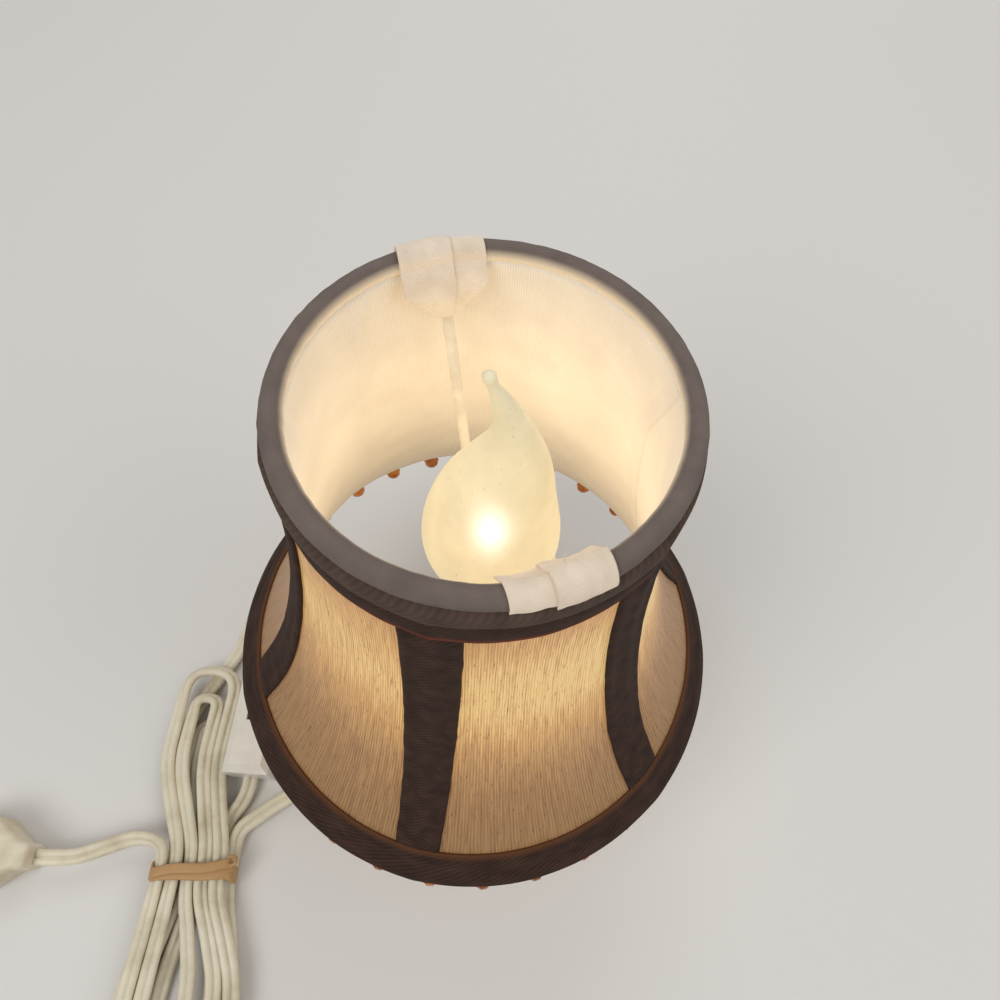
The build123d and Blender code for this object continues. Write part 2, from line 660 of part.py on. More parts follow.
def hank_points():
    """The hank from the lead to the plug: two layers of five strands, with loops at both ends of the tie."""
    top = LOBE_LAYER_Z + LAYER
    head = [(17, 20, TIE_LAYER_Z), (10.3, 14.5, TIE_LAYER_Z)]
    tail = [(-17.6, 9.2, top + 0.6), (-26, 9.5, top), (-38, 4, top), (-47, 1, top), (-58, 1, top)]
    route = (
        head
        + strand(DOWN, 4, LOW)
        + loop(DOWN, (4, LOW), (0, LOW), 19.5, -17.5, 107)
        + strand(UP, 0, LOW)
        + switch_loop()
        + strand(DOWN, 3, LOW)
        + loop(DOWN, (3, LOW), (1, LOW), 13.5, -11.7, 97)
        + strand(UP, 1, LOW)
        + loop(UP, (1, LOW), (2, LOW), -13.2, -2.8, 52)
        + strand(DOWN, 2, LOW)
        + loop(DOWN, (2, LOW), (2, HIGH), -5, 6.5, 83)
        + strand(UP, 2, HIGH)
        + loop(UP, (2, HIGH), (3, HIGH), -15.9, -7, 61)
        + strand(DOWN, 3, HIGH)
        + loop(DOWN, (3, HIGH), (1, HIGH), 16, -8.4, 94)
        + strand(UP, 1, HIGH)
        + loop(UP, (1, HIGH), (4, HIGH), -21.4, -1.6, 72)
        + strand(DOWN, 4, HIGH)
        + loop(DOWN, (4, HIGH), (0, HIGH), 22, -14.2, 104)
        + strand(UP, 0, HIGH)
        + tail
    )
    return [(TIE_X + x, TIE_Y + y, z) for x, y, z in route]


def least_gap(line, diameter):
    """The least gap of a round tube to itself, measured on points along its line."""
    count = int(line.length)
    apart = round(count * NEIGHBOUR / line.length)
    points = [line @ (k / count) for k in range(count + 1)]
    nearest = min(
        (a - b).length
        for i, a in enumerate(points)
        for b in points[i + apart:]
    )
    return nearest - diameter


def report_tube(name, solid, line, diameter):
    section = math.pi * diameter ** 2 / 4
    print(f"{name}: length {line.length:.1f}, volume over section times length "
          f"{solid.volume / (section * line.length):.4f}")


def swept(line, diameter):
    start = Plane(origin=line @ 0, z_dir=line % 0)
    return sweep(start * Circle(diameter / 2), path=line)


GROMMET_START = FOOT_R + CLOTH_GAP
GROMMET_END = GROMMET_START + GROMMET_L
lip_end = FOOT_R - FOOT_WALL - 3 * CLOTH_GAP
lip_start = lip_end - GROMMET_LIP


def along_exit(length, diameter, start):
    shape = Cylinder(diameter / 2, length, align=(Align.CENTER, Align.CENTER, Align.MIN))
    return exit_plane * Pos(0, 0, start) * shape


def lead():
    """Grommet, the lead inside the foot and the pipe, the free lead to the tie, the hank and its band."""
    cone = Cone(GROMMET_D / 2, GROMMET_TIP_D / 2, GROMMET_L, align=(Align.CENTER, Align.CENTER, Align.MIN))
    neck = along_exit(GROMMET_START - lip_end, GROMMET_NECK, lip_end)
    grommet = along_exit(GROMMET_LIP, GROMMET_D, lip_start) + neck + exit_plane * Pos(0, 0, GROMMET_START) * cone
    save("cord_grommet", grommet)

    inside = FilletPolyline(
        polar(lip_start, EXIT_AZ, EXIT_Z),
        polar(lip_start - INNER_RUN, EXIT_AZ, EXIT_Z),
        polar(INNER_NEAR, EXIT_AZ, INNER_Z),
        (0, 0, INNER_Z),
        (0, 0, SOCKET_LOW),
        radius=[INNER_EASE, INNER_EASE, INNER_BEND],
    )
    save("inner_lead", swept(inside, INNER_D))

    hank_route = hank_points()
    end = Vector(*hank_route[0])
    way = (Vector(*hank_route[1]) - end).normalized()
    free = [
        Vector(*polar(GROMMET_END, EXIT_AZ, EXIT_Z)),
        Vector(*polar(GROMMET_END + FREE_RUN, EXIT_AZ, EXIT_Z)),
        end - way * TIE_RUN,
        end,
    ]
    lead_radii = bend_radii(free)
    print("free lead radii:", [round(r, 1) for r in lead_radii])
    free_line = FilletPolyline(*free, radius=lead_radii)
    free_lead = swept(free_line, LEAD_D)
    report_tube("free lead", free_lead, free_line, LEAD_D)
    save("cord_lead", free_lead)

    hank_line = smooth_path(hank_route)
    hank = swept(hank_line, LEAD_D)
    report_tube("hank", hank, hank_line, LEAD_D)
    print(f"hank's least gap to itself {least_gap(hank_line, LEAD_D):.2f}")
    save("cord_hank", hank)

    inner_w = 4 * STEP + abs(LAYER_SHIFT) + LEAD_D + 2 * BAND_PLAY
    inner_h = LAYER + LEAD_D + 2 * BAND_PLAY
    middle_x = TIE_X + LAYER_SHIFT / 2
    middle_z = TIE_LAYER_Z + LAYER / 2
    corner = LEAD_R + BAND_PLAY
    ring = RectangleRounded(inner_w + 2 * BAND_T, inner_h + 2 * BAND_T, corner + BAND_T)
    ring -= RectangleRounded(inner_w, inner_h, corner)
    across = Plane(origin=(middle_x, TIE_Y, middle_z), x_dir=(1, 0, 0), z_dir=(0, 1, 0))
    band = extrude(across * ring, BAND_W / 2, both=True)
    save("cord_tie", band)
    plug(hank_route[-1])


def bend_radii(points):
    """The radius at each corner of a route, so that its bend takes up a share of the shorter run."""
    corners = [Vector(*p) for p in points]
    runs = [b - a for a, b in zip(corners, corners[1:])]
    radii = []
    for before, after in zip(runs, runs[1:]):
        half_turn = math.radians(before.get_angle(after)) / 2
        radii.append(BEND_SHARE * min(before.length, after.length) / math.tan(half_turn))
    return radii


def plug(end):
    """A moulded two-blade plug at the lead's end, facing -X."""
    neck = PLUG_NECK_W / 2
    wide = PLUG_W / 2
    outline = Polyline(
        (0, -neck),
        (0, neck),
        (-PLUG_TAPER / 3, neck),
        (-PLUG_TAPER, wide),
        (-PLUG_L, wide),
        (-PLUG_L, -wide),
        (-PLUG_TAPER, -wide),
        (-PLUG_TAPER / 3, -neck),
        close=True,
    )
    body = extrude(make_face(outline), PLUG_H / 2, both=True)
    body = fillet(body.edges().filter_by(Axis.Z), PLUG_ROUND)
    body = fillet(body.faces().filter_by(Axis.Z).edges(), PLUG_EDGE)
    save("plug_body", Pos(*end) * body)
    blade = Box(BLADE_L, BLADE_T, BLADE_W, align=(Align.MAX, Align.CENTER, Align.CENTER))
    places = [Pos(*end) * Pos(-PLUG_L, side * BLADE_PITCH / 2, 0) for side in (-1, 1)]
    save("plug_blades", *[place * blade for place in places])


def lead_switch():
    """Feed-through roller switch: the lead passes under the roller, in a tunnel between tray and cover."""
    place = Pos(TIE_X + SWITCH_X, TIE_Y + SWITCH_Y, 0)
    bottom = (Align.CENTER, Align.CENTER, Align.MIN)
    in_w = SWITCH_W - 2 * SWITCH_WALL
    in_l = SWITCH_L - 2 * SWITCH_WALL
    roller_z = TUNNEL_Z + LEAD_R + ROLLER_PLAY + ROLLER_D / 2
    tunnel = Pos(0, 0, TUNNEL_Z) * Rot(90, 0, 0) * Cylinder(LEAD_R + TUNNEL_PLAY, 2 * SWITCH_L)
    screw_place = Pos(SCREW_X, SCREW_Y, 0)

    tray = Box(SWITCH_W, SWITCH_L, TRAY_H, align=bottom)
    tray -= Pos(0, 0, SWITCH_WALL) * Box(in_w, in_l, TRAY_H, align=bottom)
    tray -= screw_place * (disc(SCREW_D + 4 * FIT, 0, SWITCH_WALL) + disc(SCREW_HEAD_D, 0, SCREW_HEAD_H))
    save("switch_tray", place * (tray - tunnel))

    cover = Pos(0, 0, TRAY_H) * Box(SWITCH_W, SWITCH_L, SWITCH_H - TRAY_H, align=bottom)
    top_edges = cover.edges().group_by(Axis.Z)[-1]
    cover = chamfer(top_edges, SWITCH_BEVEL)
    cover -= Pos(0, 0, TRAY_H) * Box(in_w, in_l, SWITCH_H - TRAY_H - SWITCH_BEVEL, align=bottom)
    slot = Box(ROLLER_W + 2 * ROLLER_PLAY, ROLLER_D + 2 * ROLLER_PLAY, SWITCH_H, align=bottom)
    cover -= Pos(0, 0, TRAY_H) * slot
    cover += screw_place * disc(BOSS_D, TRAY_H, SWITCH_H - SWITCH_BEVEL)
    screw_top = SWITCH_H - SWITCH_BEVEL - SCREW_SKIN
    cover -= screw_place * disc(SCREW_D, TRAY_H, screw_top)
    save("switch_cover", place * cover)

    wheel = Cylinder(ROLLER_D / 2, ROLLER_W) - Cylinder(PIN_D / 2 + PIN_PLAY, ROLLER_W)
    notch = Pos(ROLLER_D / 2, 0, 0) * Box(2 * NOTCH_DEPTH, NOTCH_W, ROLLER_W)
    for k in range(ROLLER_NOTCHES):
        wheel -= Rot(0, 0, 360 * k / ROLLER_NOTCHES) * notch
    axle = place * Pos(0, 0, roller_z) * Rot(0, 90, 0)
    save("switch_roller", axle * wheel)
    save("roller_pin", axle * Cylinder(PIN_D / 2, in_w))

    leaf_x = in_w / 2 - LEAF_T / 2
    leaf = Pos(0, 0, TRAY_H - LEAF_H) * Box(LEAF_T, LEAF_L, LEAF_H, align=bottom)
    save("switch_leaves", *[place * Pos(side * leaf_x, 0, 0) * leaf for side in (-1, 1)])
    screw = disc(SCREW_HEAD_D - 4 * FIT, 0, SCREW_HEAD_H) + disc(SCREW_D, 0, screw_top)
    save("switch_screw", place * screw_place * screw)


os.makedirs(PARTS, exist_ok=True)
shade_wires()
shade_cloth()
bead_fringe()
bulb_clip()
bulb()
candle()
base()
lead()
lead_switch()
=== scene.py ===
from math import acos, atan, copysign, cos, degrees, dist, exp, hypot, pi, radians, sin, sqrt

import bpy
import numpy as np
from mathutils import Matrix, Vector, noise


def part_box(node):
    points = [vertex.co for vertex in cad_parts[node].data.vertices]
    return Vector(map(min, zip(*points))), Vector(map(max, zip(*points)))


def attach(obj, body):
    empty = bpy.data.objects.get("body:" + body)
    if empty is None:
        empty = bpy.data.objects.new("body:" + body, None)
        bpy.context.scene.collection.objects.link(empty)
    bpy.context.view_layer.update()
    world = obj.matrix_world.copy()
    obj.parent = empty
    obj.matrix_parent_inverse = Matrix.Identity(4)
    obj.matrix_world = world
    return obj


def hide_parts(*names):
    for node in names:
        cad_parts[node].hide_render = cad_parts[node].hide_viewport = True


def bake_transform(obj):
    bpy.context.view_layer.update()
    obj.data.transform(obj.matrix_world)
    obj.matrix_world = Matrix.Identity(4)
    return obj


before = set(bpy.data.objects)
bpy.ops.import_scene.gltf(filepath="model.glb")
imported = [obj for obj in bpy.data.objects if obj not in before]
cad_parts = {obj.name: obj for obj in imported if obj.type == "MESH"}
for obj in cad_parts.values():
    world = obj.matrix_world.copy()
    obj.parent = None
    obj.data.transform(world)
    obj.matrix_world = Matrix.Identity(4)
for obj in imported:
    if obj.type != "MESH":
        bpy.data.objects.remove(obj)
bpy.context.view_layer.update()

# A candle lamp with a clip-on bell shade. Sizes are in millimetres and become metres in each mesh.
MM = 0.001

# Camera, as the photograph was taken: place, the way it looks and its lens
CAMERA = (0.30, -81.13, 305.69)
CAMERA_LOOKS = (0.0078, 0.4889, -0.8723)
CAMERA_UP = (-0.0739, 0.8702, 0.4871)
CAMERA_LENS = 26.4
SENSOR = 36.0

# Shade frame, as in the solids
SHADE_X = -2.5
RIM_Z = 70.0
SHADE_H = 128.0
TOP_R = 38.5
RIM_R = 73.5
KNEE_OUT = 12.5
KNEE_DROP = 85.0
RIBS = 6
RIB_AZ = -99.65
TOP_Z = RIM_Z + SHADE_H
RIB_STEP = 360 / RIBS
DEGREES = 57.3          # in a radian

# Shade cloth: distances from the ribs' line, and widths
LINING_OUT = -0.9
LINING_T = 0.5
PANEL_OUT = 1.5
PANEL_T = 0.6
PANEL_BOW = 1.0         # the cloth sinks this far between two ribs
TRIM_OUT = 2.3
TRIM_T = 0.7
TRIM_W = 12.0
TOP_BAND_W = 13.0
RIM_BAND_W = 12.0
ROLL_R = 2.2
ROLL_SEAM = 11.4        # sewn line outside, measured round the roll from its underside
CLOTH_GAP = 0.1
SEAM_TOP = 6.0          # sewn seam of the lining, round the mouth from its right side
SEAM_LOW = 13.4
PLEAT_AZ = 136.0        # slack of the lining beside the rear tape
WRINKLE_AZ = -167.0

# Bead fringe
BEADS = 30
BEAD_R = 3.0
BEAD_Z = RIM_Z - 0.8 - 2.6 - BEAD_R

# Bulb and clip
FILAMENT = (0.0, 0.0, 146.0)
BULB_LINE = (           # height, radius and lean to the right
    (121.0, 6.3, 0.0), (127.0, 9.6, 0.0), (134.0, 13.9, 0.0), (139.5, 16.0, 0.0), (145.0, 16.8, 0.0),
    (150.5, 16.5, 0.0), (157.0, 15.3, 0.1), (165.0, 13.2, 0.7), (172.0, 10.9, 1.9), (178.0, 8.6, 2.8),
    (183.0, 6.5, 3.2), (187.5, 4.75, 3.1), (191.5, 3.5, 2.45), (195.0, 2.7, 1.35), (198.0, 2.0, 0.1),
    (200.4, 1.35, -1.0), (201.6, 1.2, -1.6), (202.8, 1.4, -2.0), (203.9, 1.2, -2.2), (204.4, 0.35, -2.2),
)
HOT_SPOT = (0.2, -12.1, 168.5)
BENT_Z = 190.0          # the tip bends backward from here
BENT_BACK = 0.0625
CLIP_AZ = 107.0
CLIP_D = 2.6
CLIP_R = 18.3           # of the wire's middle round the bulb
CLIP_Z = 141.0
CLIP_HALF_H = 8.0
CLIP_SPAN = 60.0
LOOP_CORNER = 7.0
LOOP_STEPS = 13
BOW_OVERLAP = 8.0       # degrees of the bow inside each loop
CLIP_DIP = 13.0         # of the bow between the loops
CLIP_REAR = 1.5         # turn of the rear arm and tape off CLIP_AZ
CLIP_FRONT = 184.8
TAPE_W = 18.2
TAPE_T = 0.45
TAPE_PLAY = 0.7
TAPE_DROP = 11.0
TAPE_ARCH = 205.0       # degrees of the ring that the tape covers, from outside to inside
TAPE_START = -25.0
V_DROP = 4.2            # the tape narrows from here
V_NARROWS = 0.76
ARM_DROP = 7.0          # the arm ends this far below the ring's middle, inside the tape
FRAY_AZ = (13.0, 12.2, 11.0, 6.5, 2.8, -4.0)
ARM_R = 33.5            # clip's arm beside the ring, from the shade's axis

# Lead: a flat twin lead
LEAD_W = 5.6
LEAD_T = 2.9
EXIT_AZ = -145.0
EXIT_Z = 5.2
EXIT_R = 68.1

# Hank, as in the solids: places are offsets from the middle of the tie
TIE_X = -96.0
TIE_Y = -75.0
STEP = 5.2
LAYER = 4.9
LAYER_SHIFT = -2.6
TIE_LAYER_Z = 3.5
LOBE_LAYER_Z = 2.3
TIE_HALF = 6.0
SHOULDER = 20.0
SPREAD = 36.0
SWITCH_X = 11.0
SWITCH_Y = 58.5
SWITCH_L = 51.0
TUNNEL_Z = 3.8
UP = 1
DOWN = -1
LOW = 0
HIGH = 1
LOOPS = (               # side, two strands as (column, layer), their places across and the loop's reach
    (DOWN, (4, LOW), (0, LOW), 19.5, -17.5, 107),
    (UP, (0, LOW), (3, LOW), None, None, None),     # carries the switch
    (DOWN, (3, LOW), (1, LOW), 13.5, -11.7, 97),
    (UP, (1, LOW), (2, LOW), -13.2, -2.8, 52),
    (DOWN, (2, LOW), (2, HIGH), -5, 6.5, 83),
    (UP, (2, HIGH), (3, HIGH), -15.9, -7, 61),
    (DOWN, (3, HIGH), (1, HIGH), 16, -8.4, 94),
    (UP, (1, HIGH), (4, HIGH), -21.4, -1.6, 72),
    (DOWN, (4, HIGH), (0, HIGH), 22, -14.2, 104),
)

# Rubber band: place along the hank, skew, lift and half width of its turns
BAND_TURNS = ((-1.2, 1.2, 0.0, 1.9), (0.7, 2.4, 0.75, 1.7))
BAND_HALF_T = 0.42
BAND_LOW = 0.75


def polar(radius, azimuth, z):
    angle = radians(azimuth)
    return (radius * cos(angle), radius * sin(angle), z)


def on_shade(radius, azimuth, z):
    """A point from the shade's axis."""
    x, y, _ = polar(radius, azimuth, z)
    return (x + SHADE_X, y, z)


# Meshes

def link(thing):
    bpy.context.scene.collection.objects.link(thing)


def new_mesh(name, points, faces, body, smooth=True):
    """A piece from points and faces, riding on a body where one is given."""
    mesh = bpy.data.meshes.new(name)
    mesh.from_pydata([Vector(p) * MM for p in points], [], faces)
    mesh.update()
    if smooth:
        mesh.polygons.foreach_set("use_smooth", [True] * len(mesh.polygons))
    piece = bpy.data.objects.new(name, mesh)
    link(piece)
    if body:
        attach(piece, body)
    return piece


def grid_faces(rows, columns, round_columns=False, round_rows=False):
    """Quads of a grid stored row by row; a round grid joins its last line to its first."""
    faces = []
    for i in range(rows if round_rows else rows - 1):
        for j in range(columns if round_columns else columns - 1):
            right = (j + 1) % columns
            down = (i + 1) % rows
            faces.append((i * columns + j, i * columns + right, down * columns + right, down * columns + j))
    return faces


def grid_piece(name, rows, columns, place, body, closed=False):
    """A piece from a function of two shares along its rows and columns. It returns a point and its place on
    the flat cloth."""
    steps = columns if closed else columns - 1
    cells = [place(i / (rows - 1), j / steps) for i in range(rows) for j in range(columns)]
    piece = new_mesh(name, [point for point, _ in cells], grid_faces(rows, columns, closed), body)
    layer = piece.data.uv_layers.new(name="cloth")
    ends = [place(i / (rows - 1), 1.0)[1] for i in range(rows)] if closed else []
    for polygon in piece.data.polygons:
        corners = list(zip(polygon.loop_indices, polygon.vertices))
        wraps = closed and any(v % columns == columns - 1 for _, v in corners)
        for loop, vertex in corners:
            flat = cells[vertex][1]
            if wraps and vertex % columns == 0:
                flat = ends[vertex // columns]
            layer.data[loop].uv = flat
    return piece


def thicken(piece, thickness, offset=-1.0):
    solid = piece.modifiers.new("thickness", "SOLIDIFY")
    solid.thickness = thickness * MM
    solid.offset = offset
    return piece


def tube_points(line, outline, wide, high):
    """Rings of an outline swept along a line with wide and high directions."""
    return [
        tuple(np.array(p) + x * np.array(w) + y * np.array(h))
        for p, w, h in zip(line, wide, high)
        for x, y in outline
    ]


def capped_faces(rings, sides, closed=False):
    faces = grid_faces(rings, sides, True, closed)
    if not closed:
        faces.append(tuple(range(sides))[::-1])
        faces.append(tuple(range((rings - 1) * sides, rings * sides)))
    return [face[::-1] for face in faces]


def add_rings(points, faces, rings, sides, closed=False):
    """Add rings of points, and the faces between them, to a mesh."""
    start = len(points)
    points += rings
    faces += [tuple(start + v for v in face) for face in capped_faces(len(rings) // sides, sides, closed)]


def unit(vectors):
    return vectors / np.linalg.norm(vectors, axis=1)[:, None]


def angles(steps):
    return [2 * pi * step / steps for step in range(steps)]


def wobble(x, y, z, size):
    """Smooth noise of about -1 to 1 at a scale in millimetres."""
    return noise.noise(Vector((x, y, z)) / size)


def ease(value, low, high):
    share = min(1.0, max(0.0, (value - low) / (high - low)))
    return share * share * (3 - 2 * share)


def hump(value, middle, width):
    return exp(-((value - middle) / width) ** 2)


# Materials

class Nodes:
    """Short calls that add nodes to one material."""

    def __init__(self, name, colour, roughness, **sockets):
        self.material = bpy.data.materials.new(name)
        self.material.use_nodes = True
        self.tree = self.material.node_tree
        self.shader = self.tree.nodes["Principled BSDF"]
        self.paint(colour)
        self.set("Roughness", roughness)
        for socket, value in sockets.items():
            self.set(socket.replace("_", " "), value)

    def set(self, socket, value):
        """Put a number, a colour or a node's output on one of the shader's sockets."""
        self.plug(self.shader.inputs[socket], value)

    def plug(self, socket, value):
        if isinstance(value, bpy.types.NodeSocket):
            self.tree.links.new(value, socket)
        elif socket.type == "RGBA":
            socket.default_value = (*value, 1.0)
        else:
            socket.default_value = value

    def add(self, kind, values, **settings):
        node = self.tree.nodes.new("ShaderNode" + kind)
        for name, value in settings.items():
            setattr(node, name, value)
        for socket, value in values.items():
            self.plug(node.inputs[socket], value)
        return node

    def math(self, operation, first, second=0.0, clamp=False):
        return self.add("Math", {0: first, 1: second}, operation=operation, use_clamp=clamp).outputs[0]

    def plus(self, first, second):
        return self.math("ADD", first, second)

    def times(self, first, second):
        return self.math("MULTIPLY", first, second)

    def apart(self, value, middle):
        return self.math("ABSOLUTE", self.math("SUBTRACT", value, middle))

    def paint(self, colour):
        self.set("Base Color", colour)

    def emit(self, colour, strength):
        self.set("Emission Color", colour)
        self.set("Emission Strength", strength)

    def cloth(self):
        """Place on the flat cloth, in millimetres."""
        return self.add("UVMap", {}, uv_map="cloth").outputs[0]

    def place(self):
        """Place in the part's frame, in metres."""
        return self.add("TexCoord", {}).outputs["Object"]

    def split(self, vector):
        return self.add("SeparateXYZ", {0: vector}).outputs

    def stretch(self, vector, scale):
        return self.add("Mapping", {"Vector": vector, "Scale": scale}).outputs[0]

    def noise(self, vector, scale, detail=3.0, roughness=0.5):
        values = {"Vector": vector, "Scale": scale, "Detail": detail, "Roughness": roughness}
        return self.add("TexNoise", values).outputs[0]

    def waves(self, vector, scale, direction, distortion=0.0):
        values = {"Vector": vector, "Scale": scale, "Distortion": distortion, "Detail": 1.0}
        return self.add("TexWave", values, bands_direction=direction).outputs[1]

    def weave(self, flat, scale, distortion):
        return self.plus(self.waves(flat, scale, "X", distortion), self.waves(flat, scale, "Y", distortion))

    def ramp(self, share, *stops):
        """Colours along a share from 0 to 1, as (position, colour) stops."""
        node = self.add("ValToRGB", {0: share})
        bands = node.color_ramp.elements
        while len(bands) < len(stops):
            bands.new(0.5)
        for band, (position, colour) in zip(bands, stops):
            band.position = position
            band.color = (*colour, 1.0)
        return node.outputs[0]

    def range(self, value, low, high, to_low=0.0, to_high=1.0):
        values = {0: value, 1: low, 2: high, 3: to_low, 4: to_high}
        return self.add("MapRange", values).outputs[0]

    def mix(self, share, first, second, blend="MIX"):
        node = self.add("Mix", {0: share, 6: first, 7: second}, data_type="RGBA", blend_type=blend)
        return node.outputs[2]

    def shade(self, colour, factor):
        """A colour times a number."""
        return self.add("VectorMath", {0: colour, "Scale": factor}, operation="SCALE").outputs[0]

    def vector(self, operation, *values):
        return self.add("VectorMath", dict(enumerate(values)), operation=operation).outputs

    def distance(self, point):
        """Distance from a point of the part, in millimetres."""
        metres = self.vector("DISTANCE", self.place(), tuple(Vector(point) * MM))[1]
        return self.math("DIVIDE", metres, MM)

    def bump(self, height, strength, distance):
        values = {"Strength": strength, "Distance": distance * MM, "Height": height}
        self.set("Normal", self.add("Bump", values).outputs[0])


def rgb(red, green, blue):
    """A colour written as it looks on a screen, 0 to 255."""
    def linear(value):
        share = value / 255
        return share / 12.92 if share <= 0.04045 else ((share + 0.055) / 1.055) ** 2.4
    return (linear(red), linear(green), linear(blue))


def lamp_glow(nodes, reach, power, facing=0.0):
    """The bulb's light at a place: 1 at the reach, less beyond it. The facing share of it depends on how
    squarely the surface faces the bulb."""
    share = nodes.math("DIVIDE", reach, nodes.distance(FILAMENT))
    light = nodes.math("POWER", nodes.math("MINIMUM", share, 1.15), power)
    if facing == 0.0:
        return light
    way = nodes.vector("SUBTRACT", tuple(Vector(FILAMENT) * MM), nodes.place())[0]
    way = nodes.vector("NORMALIZE", way)[0]
    normal = nodes.add("TexCoord", {}).outputs["Normal"]
    square = nodes.vector("DOT_PRODUCT", way, normal)[1]
    return nodes.times(light, nodes.range(square, -0.15, 1.0, 1.0 - facing, 1.0))


def silk():
    """Slub silk with upright threads, lit from behind."""
    nodes = Nodes("slub_silk", rgb(150, 118, 80), 0.75, Sheen_Weight=0.25, Sheen_Roughness=0.4)
    flat = nodes.cloth()
    fine = nodes.noise(nodes.stretch(flat, (2.6, 0.10, 1)), 1.0, 2.0)
    broad = nodes.noise(nodes.stretch(flat, (0.7, 0.035, 1)), 1.0, 3.0)
    flecks = nodes.noise(nodes.stretch(flat, (1.9, 0.22, 1)), 1.0, 3.0, 0.65)
    threads = nodes.waves(nodes.stretch(flat, (1, 0.02, 1)), 0.30, "X", 1.2)
    slub = nodes.range(flecks, 0.60, 0.70, 1.0, 0.42)
    weave = nodes.plus(nodes.times(fine, 0.75), nodes.times(broad, 0.55))
    weave = nodes.plus(weave, nodes.times(threads, 0.22))
    tone = nodes.times(nodes.range(weave, 0.42, 1.05, 0.52, 1.12), slub)
    # Painted shade: the silk darkens, in colour and in glow, where its top edge runs into the slot under the
    # band
    band_slot_shadow = nodes.range(nodes.split(flat)[1], ROLL_R, ROLL_R + 2.5, 0.1, 1.0)
    tone = nodes.times(tone, band_slot_shadow)
    colour = nodes.ramp(tone, (0.30, rgb(62, 43, 25)), (0.62, rgb(114, 85, 52)), (1.0, rgb(148, 117, 78)))
    nodes.paint(colour)
    glow = nodes.times(lamp_glow(nodes, 46.0, 2.1), tone)
    warm = nodes.ramp(glow, (0.0, (0, 0, 0)), (0.35, rgb(128, 84, 40)), (0.75, rgb(214, 158, 88)),
                      (1.0, rgb(250, 212, 136)))
    nodes.emit(warm, 0.62)
    nodes.bump(nodes.times(weave, slub), 0.35, 0.25)
    return nodes.material


def lining_cloth():
    """Fine white lining, bright with the bulb's light."""
    nodes = Nodes("white_lining", rgb(222, 212, 198), 0.85, Sheen_Weight=0.2)
    flat = nodes.cloth()
    weave = nodes.weave(flat, 0.55, 0.6)
    cloud = nodes.noise(flat, 0.08, 3.0)
    tone = nodes.range(cloud, 0.3, 0.7, 0.93, 1.03)
    white = nodes.ramp(weave, (0.2, rgb(206, 194, 178)), (0.9, rgb(226, 217, 203)))
    nodes.paint(nodes.shade(white, tone))
    along = nodes.split(flat)
    seam = nodes.range(along[1], 3.0, 24.0, SEAM_TOP, SEAM_LOW)
    aside = nodes.math("SUBTRACT", along[0], seam)
    stitched = nodes.range(nodes.math("ABSOLUTE", aside), 0.1, 0.5, 0.72, 1.0)
    doubled = nodes.range(nodes.apart(aside, 2.6), 2.2, 2.6, 0.93, 1.0)
    tone = nodes.times(tone, nodes.times(stitched, doubled))
    light = nodes.times(lamp_glow(nodes, 44.0, 1.3, 0.6), tone)
    light = nodes.times(light, nodes.range(weave, 0.0, 2.0, 0.90, 1.04))
    nodes.emit(nodes.shade(rgb(255, 228, 184), light), 0.42)
    nodes.bump(weave, 0.2, 0.12)
    return nodes.material


def roll_cloth():
    """The cloth rolled over the ring: bright inside the mouth, in shadow outside it."""
    nodes = Nodes("rolled_lining", rgb(118, 107, 102), 0.9)
    flat = nodes.cloth()
    weave = nodes.weave(flat, 0.5, 0.6)
    around = nodes.split(flat)[1]
    cloud = nodes.noise(flat, 0.16, 4.0)
    lit = nodes.range(around, 3.3, 5.4, 1.0, 0.0)
    shadow = nodes.ramp(cloud, (0.3, rgb(98, 86, 79)), (0.7, rgb(112, 99, 91)))
    line = nodes.range(nodes.apart(around, ROLL_SEAM), 0.15, 0.4, 1.0, 0.0)
    shadow = nodes.mix(line, shadow, rgb(150, 137, 126))
    nodes.paint(nodes.mix(lit, shadow, rgb(196, 184, 168)))
    nodes.emit(nodes.shade(rgb(255, 222, 170), lamp_glow(nodes, 60.0, 1.0, 1.0)), 0.45)
    nodes.bump(nodes.plus(weave, nodes.times(cloud, 2.0)), 0.3, 0.15)
    return nodes.material


def brown_tape(name, edge_from, edge_to, edge_colour, edge_light, fold=0.0):
    """Dark woven tape. One edge, between two places across it, lets some of the light through, and a fold
    along its start has a painted highlight, with a painted shadow line in the sunk crease below it."""
    nodes = Nodes(name, rgb(56, 38, 29), 0.85, Specular_IOR_Level=0.2)
    flat = nodes.cloth()
    ribs = nodes.waves(flat, 0.42, "DIAGONAL", 0.8)
    cloud = nodes.noise(flat, 0.25, 4.0)
    tone = nodes.plus(nodes.times(ribs, 0.2), nodes.times(cloud, 0.8))
    dark = nodes.ramp(tone, (0.25, rgb(38, 24, 18)), (0.5, rgb(54, 36, 27)), (0.8, rgb(72, 50, 38)))
    across = nodes.split(flat)[1]
    # Painted highlight: the raised fold is lighter; painted shadow: the sunk line below it is darker
    if fold > 0.0:
        light = nodes.ramp(tone, (0.25, rgb(66, 52, 44)), (0.75, rgb(88, 72, 62)))
        dark = nodes.mix(nodes.range(across, fold - 0.5, fold), light, dark)
        line = nodes.range(nodes.apart(across, fold + 0.3), 0.2, 0.6, 0.35, 1.0)
        dark = nodes.shade(dark, line)
    edge = nodes.range(across, edge_from, edge_to)
    nodes.paint(nodes.mix(edge, dark, edge_colour))
    through = nodes.shade(edge_colour, edge)
    nodes.emit(nodes.shade(through, nodes.range(cloud, 0.3, 0.7, 0.4, 1.0)), edge_light)
    nodes.bump(tone, 0.25, 0.15)
    return nodes.material


